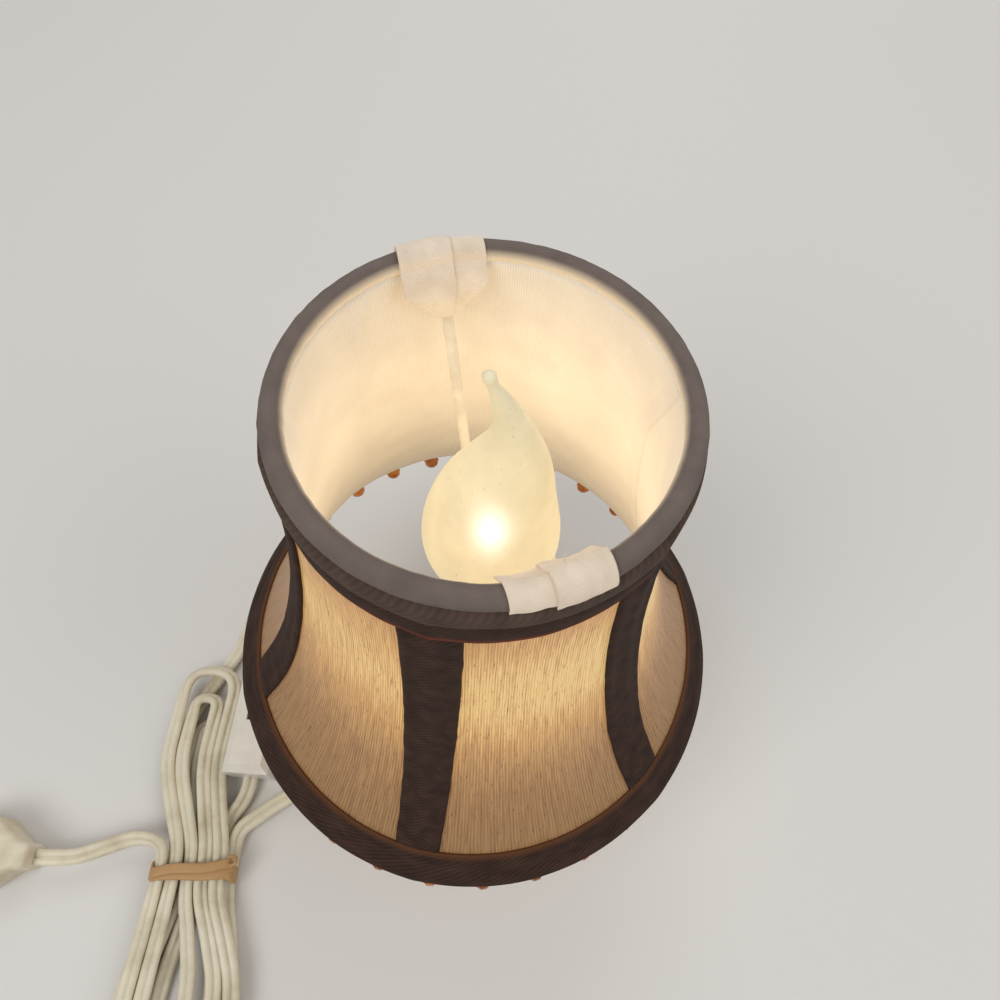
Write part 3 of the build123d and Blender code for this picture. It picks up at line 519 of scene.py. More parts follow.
def cotton_tape():
    """White cotton tape, lit where it hangs inside the mouth."""
    nodes = Nodes("cotton_tape", rgb(196, 186, 174), 0.9, Sheen_Weight=0.25)
    flat = nodes.cloth()
    weave = nodes.weave(flat, 0.6, 0.5)
    cloud = nodes.noise(flat, 0.2, 3.0)
    nodes.paint(nodes.ramp(cloud, (0.25, rgb(180, 170, 158)), (0.75, rgb(204, 195, 184))))
    nodes.emit(nodes.shade(rgb(255, 216, 160), lamp_glow(nodes, 56.0, 1.8, 0.35)), 0.42)
    nodes.bump(nodes.plus(weave, nodes.times(cloud, 1.5)), 0.35, 0.15)
    return nodes.material


def clip_coating():
    """White coating of the clip, lit by the bulb."""
    nodes = Nodes("clip_coating", rgb(214, 205, 188), 0.4, Coat_Weight=0.2)
    cloud = nodes.noise(nodes.place(), 240.0, 3.0)
    nodes.paint(nodes.ramp(cloud, (0.3, rgb(196, 186, 168)), (0.7, rgb(220, 212, 196))))
    nodes.emit(nodes.shade(rgb(255, 228, 184), lamp_glow(nodes, 40.0, 1.0, 0.5)), 0.35)
    nodes.bump(cloud, 0.15, 0.1)
    return nodes.material


def frosted_glass():
    """Frosted glass with fine specks, brightest in front of the filament."""
    nodes = Nodes("frosted_glass", rgb(240, 232, 205), 0.55, Coat_Weight=0.15, Coat_Roughness=0.35)
    place = nodes.place()
    specks = nodes.noise(place, 900.0, 4.0, 0.7)
    cloud = nodes.noise(place, 110.0, 3.0)
    speck = nodes.range(specks, 0.64, 0.72, 1.0, 0.72)
    tone = nodes.times(speck, nodes.range(cloud, 0.3, 0.7, 0.93, 1.05))
    nodes.paint(nodes.shade(rgb(214, 203, 168), tone))
    aside = nodes.math("DIVIDE", nodes.split(place)[0], 4.6 * MM)
    away = nodes.math("DIVIDE", nodes.distance(HOT_SPOT), 5.8)
    spread = nodes.plus(nodes.times(aside, aside), nodes.times(away, away))
    near = nodes.math("POWER", 2.718, nodes.times(spread, -1.0))
    band = nodes.range(nodes.distance(FILAMENT), 13.0, 44.0, 1.0, 0.45)
    body = nodes.shade(rgb(252, 244, 212), nodes.times(nodes.times(band, tone), 0.38))
    nodes.emit(nodes.mix(near, body, (1.0, 0.98, 0.92)), 1.0)
    nodes.bump(specks, 0.15, 0.1)
    return nodes.material


def amber_glass():
    nodes = Nodes("amber_glass", rgb(180, 108, 42), 0.08, Transmission_Weight=0.7, IOR=1.5)
    cloud = nodes.noise(nodes.place(), 260.0, 2.0)
    nodes.paint(nodes.ramp(cloud, (0.35, rgb(160, 86, 30)), (0.65, rgb(214, 148, 72))))
    # Painted glow: a faint patchy emission stands for the bulb's light caught in the amber
    nodes.emit(nodes.shade(rgb(220, 120, 40), nodes.range(cloud, 0.3, 0.7, 0.3, 1.0)), 0.12)
    return nodes.material


def plain(name, colour, roughness, grain, depth, **sockets):
    """A plain surface with cloudy colour, uneven gloss and a fine grain, per metre."""
    nodes = Nodes(name, colour, roughness, **sockets)
    place = nodes.place()
    cloud = nodes.noise(place, grain / 12, 4.0, 0.6)
    fine = nodes.noise(place, grain, 3.0, 0.6)
    nodes.paint(nodes.shade(colour, nodes.range(cloud, 0.3, 0.7, 0.88, 1.08)))
    nodes.set("Roughness", nodes.range(cloud, 0.3, 0.7, roughness * 0.85, min(1.0, roughness * 1.2)))
    nodes.bump(fine, 0.25, depth)
    return nodes.material


def mottled(name, stops, cloud, fine, gloss, grain, **sockets):
    """A worn surface: colours and gloss along a cloudy noise, and a fine grain."""
    nodes = Nodes(name, stops[1][1], gloss[0], **sockets)
    place = nodes.place()
    patches = nodes.noise(place, *cloud)
    nodes.paint(nodes.ramp(patches, *stops))
    nodes.set("Roughness", nodes.range(patches, 0.3, 0.7, *gloss))
    nodes.bump(nodes.noise(place, *fine), *grain)
    return nodes.material


def dress(piece, material):
    """Give a piece, or a node of the frame, one material."""
    piece.data.materials.clear()
    piece.data.materials.append(material)


# Bell line of the shade's ribs, by length along it from the top ring

UPPER_R = (KNEE_OUT ** 2 + KNEE_DROP ** 2) / (2 * KNEE_OUT)
KNEE_SLOPE = 2 * atan(KNEE_OUT / KNEE_DROP)
LOWER_OUT = RIM_R - TOP_R - KNEE_OUT
LOWER_DROP = SHADE_H - KNEE_DROP
LOWER_TURN = atan(LOWER_OUT / LOWER_DROP) - KNEE_SLOPE
LOWER_R = hypot(LOWER_OUT, LOWER_DROP) / (2 * sin(LOWER_TURN))
KNEE_LENGTH = UPPER_R * KNEE_SLOPE
BELL_LENGTH = KNEE_LENGTH + 2 * LOWER_R * LOWER_TURN


def bell(length, out):
    """The (radius, height) at a length along the bell line, moved outward."""
    if length <= KNEE_LENGTH:
        slope = length / UPPER_R
        radius = UPPER_R - out
        return (TOP_R + UPPER_R - radius * cos(slope), TOP_Z - radius * sin(slope))
    slope = KNEE_SLOPE + (length - KNEE_LENGTH) / LOWER_R
    centre_r = TOP_R + KNEE_OUT + LOWER_R * cos(KNEE_SLOPE)
    centre_z = TOP_Z - KNEE_DROP + LOWER_R * sin(KNEE_SLOPE)
    radius = LOWER_R - out
    return (centre_r - radius * cos(slope), centre_z - radius * sin(slope))


def shade_point(length, out, azimuth):
    radius, z = bell(length, out)
    return on_shade(radius, azimuth, z)


def rib_share(azimuth):
    """0 on a rib and 1 half way between two ribs."""
    place = ((azimuth - RIB_AZ) / RIB_STEP) % 1.0
    return 1 - abs(2 * place - 1)


def sink(length, azimuth):
    """How far the stretched cloth sinks inward between the ribs."""
    return PANEL_BOW * sin(pi * length / BELL_LENGTH) * sin(pi / 2 * rib_share(azimuth))


def azimuth_gap(azimuth, other):
    return (azimuth - other + 180) % 360 - 180


def mouth_arc(azimuth, other):
    """Length round the mouth from one azimuth to another."""
    return azimuth_gap(azimuth, other) * TOP_R / DEGREES


CLOTH_TOP = ROLL_R + CLOTH_GAP
TUCK = 1.2              # the cloth starts this far below the ring, under the roll
CLOTH_LENGTH = BELL_LENGTH - TUCK


def make_lining(material):
    """White lining with a sewn seam, a slack pleat by the rear tape and some creases."""
    def place(row, column):
        azimuth = 360 * column
        length = TUCK + CLOTH_LENGTH * row
        arc = radians(azimuth) * TOP_R
        out = LINING_OUT - LINING_T - sink(length, azimuth) * 0.7
        near_top = 1 - ease(length, 4, 34)
        seam = SEAM_TOP + (SEAM_LOW - SEAM_TOP) * min(1.0, max(0.0, (length - 3) / 21))
        from_seam = mouth_arc(azimuth, degrees(seam / TOP_R))
        out -= 0.35 * hump(from_seam, 0.7, 0.8)
        out += 0.25 * hump(from_seam, -0.5, 0.5)
        from_pleat = mouth_arc(azimuth, PLEAT_AZ + 0.5 * length)
        out -= 0.9 * hump(from_pleat, 0, 2.2) * near_top * ease(length, 2.2, 6)
        from_crease = mouth_arc(azimuth, WRINKLE_AZ)
        out -= 0.8 * hump(from_crease + 0.3 * length, 0, 1.6) * near_top * ease(length, 2.2, 5)
        out -= 0.25 * abs(wobble(arc * 1.6, length * 0.5, 5.0, 9.0)) * ease(length, 2.2, 9)
        return shade_point(length, out, azimuth), (arc, length)

    lining = thicken(grid_piece("shade_lining", 60, 288, place, "shade", closed=True), LINING_T * 0.8, 1.0)
    dress(lining, material)
    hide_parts("lining")


def make_panel(number, material):
    """One silk panel between two ribs."""
    start = RIB_AZ + RIB_STEP * (number - 1)

    def place(row, column):
        length = TUCK + CLOTH_LENGTH * row
        azimuth = start + 0.35 + (RIB_STEP - 0.7) * column
        out = PANEL_OUT - sink(length, azimuth)
        out += 0.12 * wobble(azimuth * 0.9, length * 0.2, number * 40.0, 5.0)
        arc = radians(azimuth - start) * RIM_R + number * 97.0
        return shade_point(length, out, azimuth), (arc, length)

    panel = thicken(grid_piece(f"silk_panel_{number}", 48, 36, place, "shade"), PANEL_T, 1.0)
    dress(panel, material)
    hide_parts(f"panel_{number}")


def make_rib_trim(number, material):
    """Woven tape over one rib, folded under along both edges."""
    azimuth_of_rib = RIB_AZ + RIB_STEP * (number - 1)
    top = CLOTH_TOP + TOP_BAND_W - 1.5
    bottom = BELL_LENGTH - RIM_BAND_W + 1.5

    def place(row, column):
        across = TRIM_W * (column - 0.5)
        length = top + (bottom - top) * row
        radius, _ = bell(length, TRIM_OUT)
        edge_noise = 0.2 * wobble(length, number * 30.0, 3.0 * (1 if across > 0 else -1), 6.0)
        azimuth = azimuth_of_rib + degrees((across + edge_noise * abs(column - 0.5) * 2) / radius)
        out = TRIM_OUT - TRIM_T * 0.35 - sink(length, azimuth) * 0.8
        out += 0.30 * hump(abs(across), 4.9, 0.8) + 0.35 * hump(across, 0, 1.6)
        out -= 0.45 * ease(abs(across), 5.4, 6.0)
        under = ease(length, top, top + 3.0) * (1 - ease(length, bottom - 3.0, bottom))
        out -= 1.1 * (1 - under)
        out += 0.10 * wobble(across * 2, length * 0.7, number * 17.0, 4.0)
        return shade_point(length, out, azimuth), (across + 6 + number * 40.0, length)

    trim = thicken(grid_piece(f"trim_tape_{number}", 64, 25, place, "shade"), TRIM_T * 0.7)
    dress(trim, material)
    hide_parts(f"rib_trim_{number}")


def band_piece(name, node, rows, start, width, profile, material):
    """A ring of tape over the panels' edge, with a profile along its width."""
    def place(row, column):
        azimuth = 360 * column
        length = start + width * row
        arc = radians(azimuth) * TOP_R
        out = TRIM_OUT - TRIM_T * 0.4 + profile(width * row)
        out += 0.35 * (1 - rib_share(azimuth)) ** 6
        out -= 0.5 * sink(length, azimuth)
        out += 0.12 * wobble(arc * 0.8, length * 1.5, 70.0, 5.0)
        return shade_point(length, out, azimuth), (arc, width * row)

    band = thicken(grid_piece(name, rows, 300, place, "shade", closed=True), TRIM_T * 0.7)
    dress(band, material)
    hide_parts(node)


def top_profile(along):
    """A fold of the tape above, a sunk line below it and the flat lower edge."""
    fold = 0.6 * sqrt(max(0.0, 1 - ((along - 3.0) / 2.6) ** 2)) if along < 5.6 else 0.0
    turned_in = 2.4 * (1 - ease(along, 0.0, 1.6))
    lower = 0.2 * hump(along, 8.6, 2.0) - 0.35 * ease(along, 11.6, 13.0)
    return fold - 0.3 * hump(along, 5.7, 0.5) + lower - turned_in


def rim_profile(along):
    """Flat upper edge, and a round hem over the bottom ring."""
    return 0.45 * hump(along, 9.4, 2.4) + 0.15 * hump(along, 3.4, 1.2) - 0.35 * (1 - ease(along, 0, 1.6))


def make_roll(material):
    """Lining rolled over the top ring, with the line of its seam on the outside."""
    sides = 32
    rings = 300

    def place(row, column):
        azimuth = 360 * column
        turn = 2 * pi * row
        arc = radians(azimuth) * TOP_R
        pull = 0.16 * wobble(arc * 1.3, row * 5.0, 11.0, 4.0) + 0.10 * wobble(arc * 3.2, row * 9.0, 31.0, 4.0)
        pull += 0.25 * hump(azimuth_gap(azimuth, WRINKLE_AZ), 0, 2.0)
        radius = ROLL_R + pull * 0.6
        along = (row + 0.5) % 1.0 * 2 * pi * ROLL_R
        radius += 0.12 * hump(along, ROLL_SEAM, 0.25) - 0.4 * hump(along, ROLL_SEAM + 0.5, 0.3)
        r = TOP_R - radius * cos(turn + pi / 2)
        z = TOP_Z + radius * sin(turn + pi / 2)
        return on_shade(r, azimuth, z), (arc, along)

    cells = [place(i / sides, j / rings) for i in range(sides) for j in range(rings)]
    points = [point for point, _ in cells]
    roll = new_mesh("lining_edge_roll", points, capped_faces(sides, rings, closed=True), "shade")
    layer = roll.data.uv_layers.new(name="cloth")
    for corner in roll.data.loops:
        layer.data[corner.index].uv = cells[corner.vertex_index][1]
    dress(roll, material)
    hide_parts("lining_roll")


def smooth_table(table, steps):
    """Rows along smooth curves through the rows of a table."""
    rows = np.array(table)
    places = rows[:, 0]
    slopes = np.gradient(rows, places, axis=0)
    result = []
    for place in np.linspace(places[0], places[-1], steps):
        i = min(max(int(np.searchsorted(places, place)) - 1, 0), len(places) - 2)
        span = places[i + 1] - places[i]
        t = (place - places[i]) / span
        result.append(
            (2 * t ** 3 - 3 * t ** 2 + 1) * rows[i] + (t ** 3 - 2 * t ** 2 + t) * span * slopes[i]
            + (3 * t ** 2 - 2 * t ** 3) * rows[i + 1] + (t ** 3 - t ** 2) * span * slopes[i + 1]
        )
    return result


def make_bulb(material):
    """Flame-shaped frosted bulb whose tip bends over and ends in a small nub."""
    sides = 64
    rings = smooth_table(BULB_LINE, 120)
    points = [
        (aside + radius * cos(a), BENT_BACK * max(0.0, z - BENT_Z) + radius * sin(a), z)
        for z, radius, aside in rings
        for a in angles(sides)
    ]
    bulb = new_mesh("frosted_bulb", points, [f[::-1] for f in capped_faces(len(rings), sides)], "bulb")
    dress(bulb, material)
    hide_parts("bulb_glass")


def make_beads(material):
    """Cut amber beads hanging under the rim."""
    sides = 10
    half = [(0.30, 1.0), (0.62, 0.86), (0.92, 0.48)]
    profile = half + [(1.0, 0.0)] + [(r, -h) for r, h in half[::-1]]
    points = []
    faces = []
    for bead in range(BEADS):
        x, y, _ = on_shade(RIM_R, 360 * bead / BEADS, 0)
        size = BEAD_R * (0.94 + 0.06 * wobble(bead * 7.0, 3.0, 9.0, 5.0))
        cut = []
        for r, h in profile:
            for side in range(sides):
                px, py, _ = polar(size * r, 360 * side / sides + bead * 13.0, 0)
                cut.append((x + px, y + py, BEAD_Z + size * h))
        add_rings(points, faces, cut, sides)
    beads = new_mesh("amber_beads", points, faces, "shade", smooth=False)
    dress(beads, material)
    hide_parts("fringe_beads")


def make_tape(name, node, side, material, laps):
    """Cotton tape over the top ring in overlapping laps, drawn to a V round the clip's arm."""
    azimuth = CLIP_AZ + side
    arch_r = ROLL_R + TAPE_PLAY * 0.5
    arch_length = radians(TAPE_ARCH) * arch_r
    total = arch_length + TAPE_DROP

    def lap(index, left, right, lift):
        def place(row, column):
            along = total * row
            share = left + (right - left) * column
            drop = max(0.0, along - arch_length)
            width = TAPE_W * (1 - V_NARROWS * max(0.0, (drop - V_DROP) / (TAPE_DROP - V_DROP)))
            across = width * (share - 0.5)
            rise = arch_r + lift
            to_arm = TOP_R - (ARM_R - CLIP_D / 2 - 0.5) + lift
            if drop == 0.0:
                turn = radians(TAPE_START) + along / arch_r
                r = TOP_R + rise * cos(turn)
                z = TOP_Z + rise * sin(turn)
            else:
                pull = 1 - max(0.0, 1 - drop / ARM_DROP) ** 1.6
                r = TOP_R - rise - (to_arm - rise) * pull * (0.8 + 0.2 * hump(across, 0, 3.0))
                z = TOP_Z - drop
            r += 0.18 * wobble(across * 1.4, along * 0.8, side + index * 9.0, 3.0)
            angle = azimuth + degrees(across / max(r, 20.0))
            return on_shade(r, angle, z), (across + index * 50.0, along)
        return place

    low = Vector(on_shade(ARM_R, azimuth, TOP_Z - TAPE_DROP)) * MM
    high = Vector(on_shade(ARM_R, azimuth, TOP_Z - ROLL_R)) * MM
    for index, (left, right, lift) in enumerate(laps):
        piece_name = name if index == 0 else f"{name}_lap"
        piece = thicken(grid_piece(piece_name, 56, 30, lap(index, left, right, lift), None), TAPE_T, 0.0)
        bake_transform(piece)
        dress(piece, material)
    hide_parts(node)


def add_tube(points, faces, line, radius, across, sides=14, closed=False):
    """Add a round tube along a line to points and faces. Across is a direction off the line."""
    line = np.array(line)
    if closed:
        ways = np.roll(line, -1, axis=0) - np.roll(line, 1, axis=0)
    else:
        ways = np.gradient(line, axis=0)
    ways = unit(ways)
    wide = unit(np.cross(ways, np.broadcast_to(np.array(across, dtype=float), line.shape)))
    high = np.cross(wide, ways)
    outline = [(radius * cos(a), radius * sin(a)) for a in angles(sides)]
    add_rings(points, faces, tube_points(line, outline, wide, high), sides, closed)


def rounded_loop(width, height, corner, steps):
    """Points round a rectangle with round corners, from the middle of its upper side."""
    points = []
    for cx, cy, start in ((1, 1, 90), (1, -1, 0), (-1, -1, -90), (-1, 1, -180)):
        for step in range(steps):
            angle = radians(start - 90 * step / (steps - 1))
            points.append((cx * (width - corner) + corner * cos(angle),
                           cy * (height - corner) + corner * sin(angle)))
    dense = []
    for a, b in zip(points, points[1:] + points[:1]):
        count = max(1, int(dist(a, b) / 1.2))
        dense += [(a[0] + (b[0] - a[0]) * k / count, a[1] + (b[1] - a[1]) * k / count) for k in range(count)]
    return dense


def wire_round_bulb(points, faces, places, closed=False):
    """Add the clip's wire through (azimuth, height) places."""
    line = [polar(CLIP_R, azimuth, z) for azimuth, z in places]
    outward = [polar(1.0, azimuth, 0.0) for azimuth, _ in places]
    add_tube(points, faces, line, CLIP_D / 2, outward, closed=closed)


def make_clip(material):
    """White wire clip: two loops at the bulb, a bow that joins them, and an arm to each tape."""
    points = []
    faces = []
    outline = rounded_loop(radians(CLIP_SPAN / 2) * CLIP_R, CLIP_HALF_H, LOOP_CORNER, LOOP_STEPS)
    for middle in (CLIP_AZ + CLIP_REAR, CLIP_AZ + CLIP_FRONT):
        places = [(middle + degrees(along / CLIP_R), CLIP_Z + up) for along, up in outline]
        wire_round_bulb(points, faces, places, closed=True)
        foot = np.array(polar(CLIP_R, middle, CLIP_Z - CLIP_HALF_H))
        knee = np.array(on_shade(ARM_R, middle, TOP_Z - TAPE_DROP))
        top = np.array(on_shade(ARM_R, middle, TOP_Z - ARM_DROP))
        low_part = [foot + (knee - foot) * share for share in np.linspace(0.0, 0.96, 24)]
        bend = [(1 - t) ** 2 * low_part[-1] + 2 * t * (1 - t) * knee + t ** 2 * (knee + (top - knee) * 0.4)
                for t in np.linspace(0.15, 1.0, 7)]
        add_tube(points, faces, low_part + bend + [top], CLIP_D / 2, polar(1.0, middle + 90, 0.0))
    bow = []
    first = CLIP_AZ + 180 + CLIP_SPAN / 2
    last = CLIP_AZ + 360 - CLIP_SPAN / 2
    for azimuth in np.linspace(first - BOW_OVERLAP, last + BOW_OVERLAP, 40):
        share = (azimuth - first) / (last - first)
        dip = CLIP_DIP * sin(pi * min(1.0, max(0.0, share)))
        bow.append((azimuth, CLIP_Z - CLIP_HALF_H - dip))
    wire_round_bulb(points, faces, bow)
    clip = new_mesh("clip_wire", points, faces, "shade_clip")
    dress(clip, material)
    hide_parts("bulb_clip")


def make_frays(material):
    """Loose threads at the upper corner of the front tape."""
    points = []
    faces = []
    for thread, turn in enumerate(FRAY_AZ):
        start_az = CLIP_AZ + CLIP_FRONT + turn
        lean = 1.6 * wobble(thread * 5.1, 2.0, 1.0, 2.0)
        reach = 1.2 + 2.4 * abs(wobble(thread * 3.3, 0.5, 2.0, 2.0))
        line = []
        for step, share in enumerate(np.linspace(0.0, 1.0, 9)):
            curl = wobble(thread * 5.0, step * 1.4, 1.0, 3.0)
            r = TOP_R - 2.3 - share * (0.5 + 0.7 * curl) * reach
            z = TOP_Z + 1.6 + share * (1 - 0.35 * share) * reach
            line.append(on_shade(r, start_az + 3.2 * share * (lean + 0.8 * curl), z))
        add_tube(points, faces, line, 0.07, polar(1.0, start_az + 90, 0.0), sides=6)
    frays = new_mesh("tape_frays", points, faces, "shade")
    frays.data.uv_layers.new(name="cloth")
    dress(frays, material)


def side_frames(line, rolls):
    """Wide and high directions along a line: level and upright, turned by a roll."""
    ways = unit(np.gradient(np.array(line), axis=0))
    level = unit(np.cross(ways, (0.0, 0.0, 1.0)))
    upright = np.cross(level, ways)
    turn = np.array(rolls)[:, None]
    wide = level * np.cos(turn) + upright * np.sin(turn)
    high = upright * np.cos(turn) - level * np.sin(turn)
    return wide, high


# Lead and hank

def column_x(column, layer):
    return STEP * (column - 2) + LAYER_SHIFT * layer


def strand(side, column, layer):
    """Two points of a strand that runs through the tie."""
    x = column_x(column, layer)
    z = TIE_LAYER_Z + LAYER * layer
    return [(x, -side * TIE_HALF, z), (x, side * TIE_HALF, z)]


def half_loop(side, column, layer, x, turn, reach):
    """One side of a loop, from the tie to the corner at its end."""
    z = LOBE_LAYER_Z + LAYER * layer
    half_way = (column_x(column, layer) + x) / 2
    return [(half_way, side * SHOULDER, z)] + [(x, side * y, z) for y in (SPREAD, reach - turn, reach)]


def loop(side, start, end, start_x, end_x, reach):
    """A loop from one strand, (column, layer), to another, between two places across the hank."""
    turn = abs(end_x - start_x)
    return half_loop(side, *start, start_x, turn, reach) + half_loop(side, *end, end_x, turn, reach)[::-1]


def switch_loop():
    """The long loop that carries the switch on its second run."""
    back = half_loop(UP, 0, LOW, -19.5, 0, 50)[:3]
    bend = [(-12, 68, LOBE_LAYER_Z), (-4, 84, LOBE_LAYER_Z), (-3, 103, LOBE_LAYER_Z)]
    bend.append((SWITCH_X, 105, LOBE_LAYER_Z + 0.5))
    run = [(SWITCH_X, SWITCH_Y + share * SWITCH_L, TUNNEL_Z) for share in (0.64, 0.45, 0, -0.45, -0.64)]
    return back + bend + run + [(column_x(3, LOW), 17, LOBE_LAYER_Z + 0.4)]


def hank_points():
    """The hank from the lead to the plug: two layers of five strands with loops at both ends."""
    top = LOBE_LAYER_Z + LAYER
    route = [(17, 20, TIE_LAYER_Z), (10.3, 14.5, TIE_LAYER_Z)]
    for side, start, end, start_x, end_x, reach in LOOPS:
        route += strand(side, *start)
        route += loop(side, start, end, start_x, end_x, reach) if reach else switch_loop()
    route += strand(UP, 0, HIGH)
    route += [(-17.6, 9.2, top + 0.6), (-26, 9.5, top), (-38, 4, top), (-47, 1, top), (-58, 1, top)]
    return [(TIE_X + x, TIE_Y + y, z) for x, y, z in route]


def lead_route():
    """The free lead from the grommet, then the hank."""
    hank = hank_points()
    way = (Vector(hank[1]) - Vector(hank[0])).normalized()
    before = Vector(hank[0]) - way * 9.0
    return [polar(EXIT_R, EXIT_AZ, EXIT_Z), polar(EXIT_R + 8.0, EXIT_AZ, EXIT_Z), tuple(before)] + hank


def spline_line(name, route, resolution):
    """Points along the smooth curve that has the route as its control points."""
    curve = bpy.data.curves.new(name, "CURVE")
    curve.dimensions = "3D"
    curve.resolution_u = resolution
    spline = curve.splines.new("NURBS")
    spline.points.add(len(route) - 1)
    for point, place in zip(spline.points, route):
        point.co = (*place, 1.0)
    spline.order_u = 3
    spline.use_endpoint_u = True
    holder = bpy.data.objects.new(name, curve)
    link(holder)
    mesh = bpy.data.meshes.new_from_object(holder)
    line = [np.array(v.co) for v in mesh.vertices]
    bpy.data.objects.remove(holder)
    bpy.data.curves.remove(curve)
    bpy.data.meshes.remove(mesh)
    return line


def lead_rolls(line):
    """Roll of the lead: nearly flat in the runs, tilted in the tie and in the bends."""
    points = np.array(line)
    ways = np.gradient(points, axis=0)
    lengths = np.linalg.norm(ways, axis=1)
    ways /= lengths[:, None]
    turning = np.linalg.norm(np.gradient(ways, axis=0), axis=1) / lengths
    upper = np.clip((points[:, 2] - 5.0) / 2.0, 0, 1)
    in_tie = np.clip(1.6 - np.abs(points[:, 1] - TIE_Y) / 9.0, 0, 1)
    in_tie *= np.abs(points[:, 0] - TIE_X) < 24
    bend = np.clip(turning / 0.07, 0, 1)
    edge = radians(36) + radians(30) * upper
    flat = np.array([radians(14 + 12 * wobble(p[0] * 0.6, p[1] * 0.6, p[2], 9.0)) for p in points])
    roll = np.maximum(bend * edge, flat)
    roll = roll * (1 - in_tie) + radians(45) * in_tie
    window = np.hanning(61)
    window /= window.sum()
    return np.convolve(np.pad(roll, len(window) // 2, mode="edge"), window, mode="valid")


def twin_outline(steps):
    """Section of the twin lead: two round wires with a groove between them."""
    radius = LEAD_T / 2
    apart = LEAD_W / 2 - radius
    reach = acos(-apart / radius)
    right = [(apart + radius * cos(a), radius * sin(a)) for a in np.linspace(-reach, reach, steps)]
    return right + [(-x, -y) for x, y in right[1:-1]]


def make_lead(material):
    """The whole free lead as one piece."""
    line = spline_line("lead_line", lead_route(), 16)
    wide, high = side_frames(line, lead_rolls(line))
    outline = twin_outline(13)
    points = tube_points(line, outline, wide, high)
    lead = new_mesh("twin_lead", points, capped_faces(len(line), len(outline)), "base")
    dress(lead, material)
    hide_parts("cord_lead", "cord_hank")


def blunt(value):
    """A sine or cosine as on a rounded square."""
    return copysign(abs(value) ** 0.5, value)


def make_tie(material):
    """Flat rubber band round the hank: two turns that cross, and a twist at the right."""
    low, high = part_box("cord_tie")
    middle = (low + high) / 2 / MM
    half_w = (high.x - low.x) / 2 / MM - 0.5
    half_h = (high.z - low.z) / 2 / MM - 0.5
    sides = 10
    rings = 96
    points = []
    faces = []
    for turn, (along, cross, lift, half_band) in enumerate(BAND_TURNS):
        line = []
        for step, angle in enumerate(angles(rings)):
            x = half_w * blunt(cos(angle))
            z = half_h * blunt(sin(angle))
            over_top = ease(sin(angle), 0.0, 0.8)
            y = along + cross * over_top * cos(angle) * 1.3
            y += 0.25 * wobble(step * 0.5, turn * 9.0, 1.0, 3.0)
            z += lift * over_top
            line.append((middle.x + x, middle.y + y, max(middle.z + z, BAND_LOW)))
        ways = unit(np.roll(line, -1, axis=0) - np.roll(line, 1, axis=0))
        across = np.tile((0.0, 1.0, 0.0), (rings, 1))
        outward = unit(np.cross(across, ways))
        outline = [(half_band * blunt(cos(a)), BAND_HALF_T * blunt(sin(a))) for a in angles(sides)]
        add_rings(points, faces, tube_points(line, outline, across, outward), sides, closed=True)
    twist = [(middle.x + half_w - 0.6 + 1.7 * cos(a), middle.y + 3.9 + 1.5 * sin(a),
              middle.z + half_h + 0.2 + 0.9 * cos(a + 0.6)) for a in angles(28)]
    add_tube(points, faces, twist, 0.6, (0.0, 0.0, 1.0), sides=8, closed=True)
    tie = new_mesh("rubber_band", points, faces, "base")
    dress(tie, material)
    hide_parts("cord_tie")
    return tie


# Pieces of the frame that keep their own shape

def round_edges(node, width, segments=2):
    """Soften a node's edges where two flat faces meet."""
    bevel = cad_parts[node].modifiers.new("edges", "BEVEL")
    bevel.width = width * MM
    bevel.segments = segments
    bevel.limit_method = "ANGLE"
    bevel.angle_limit = radians(40)


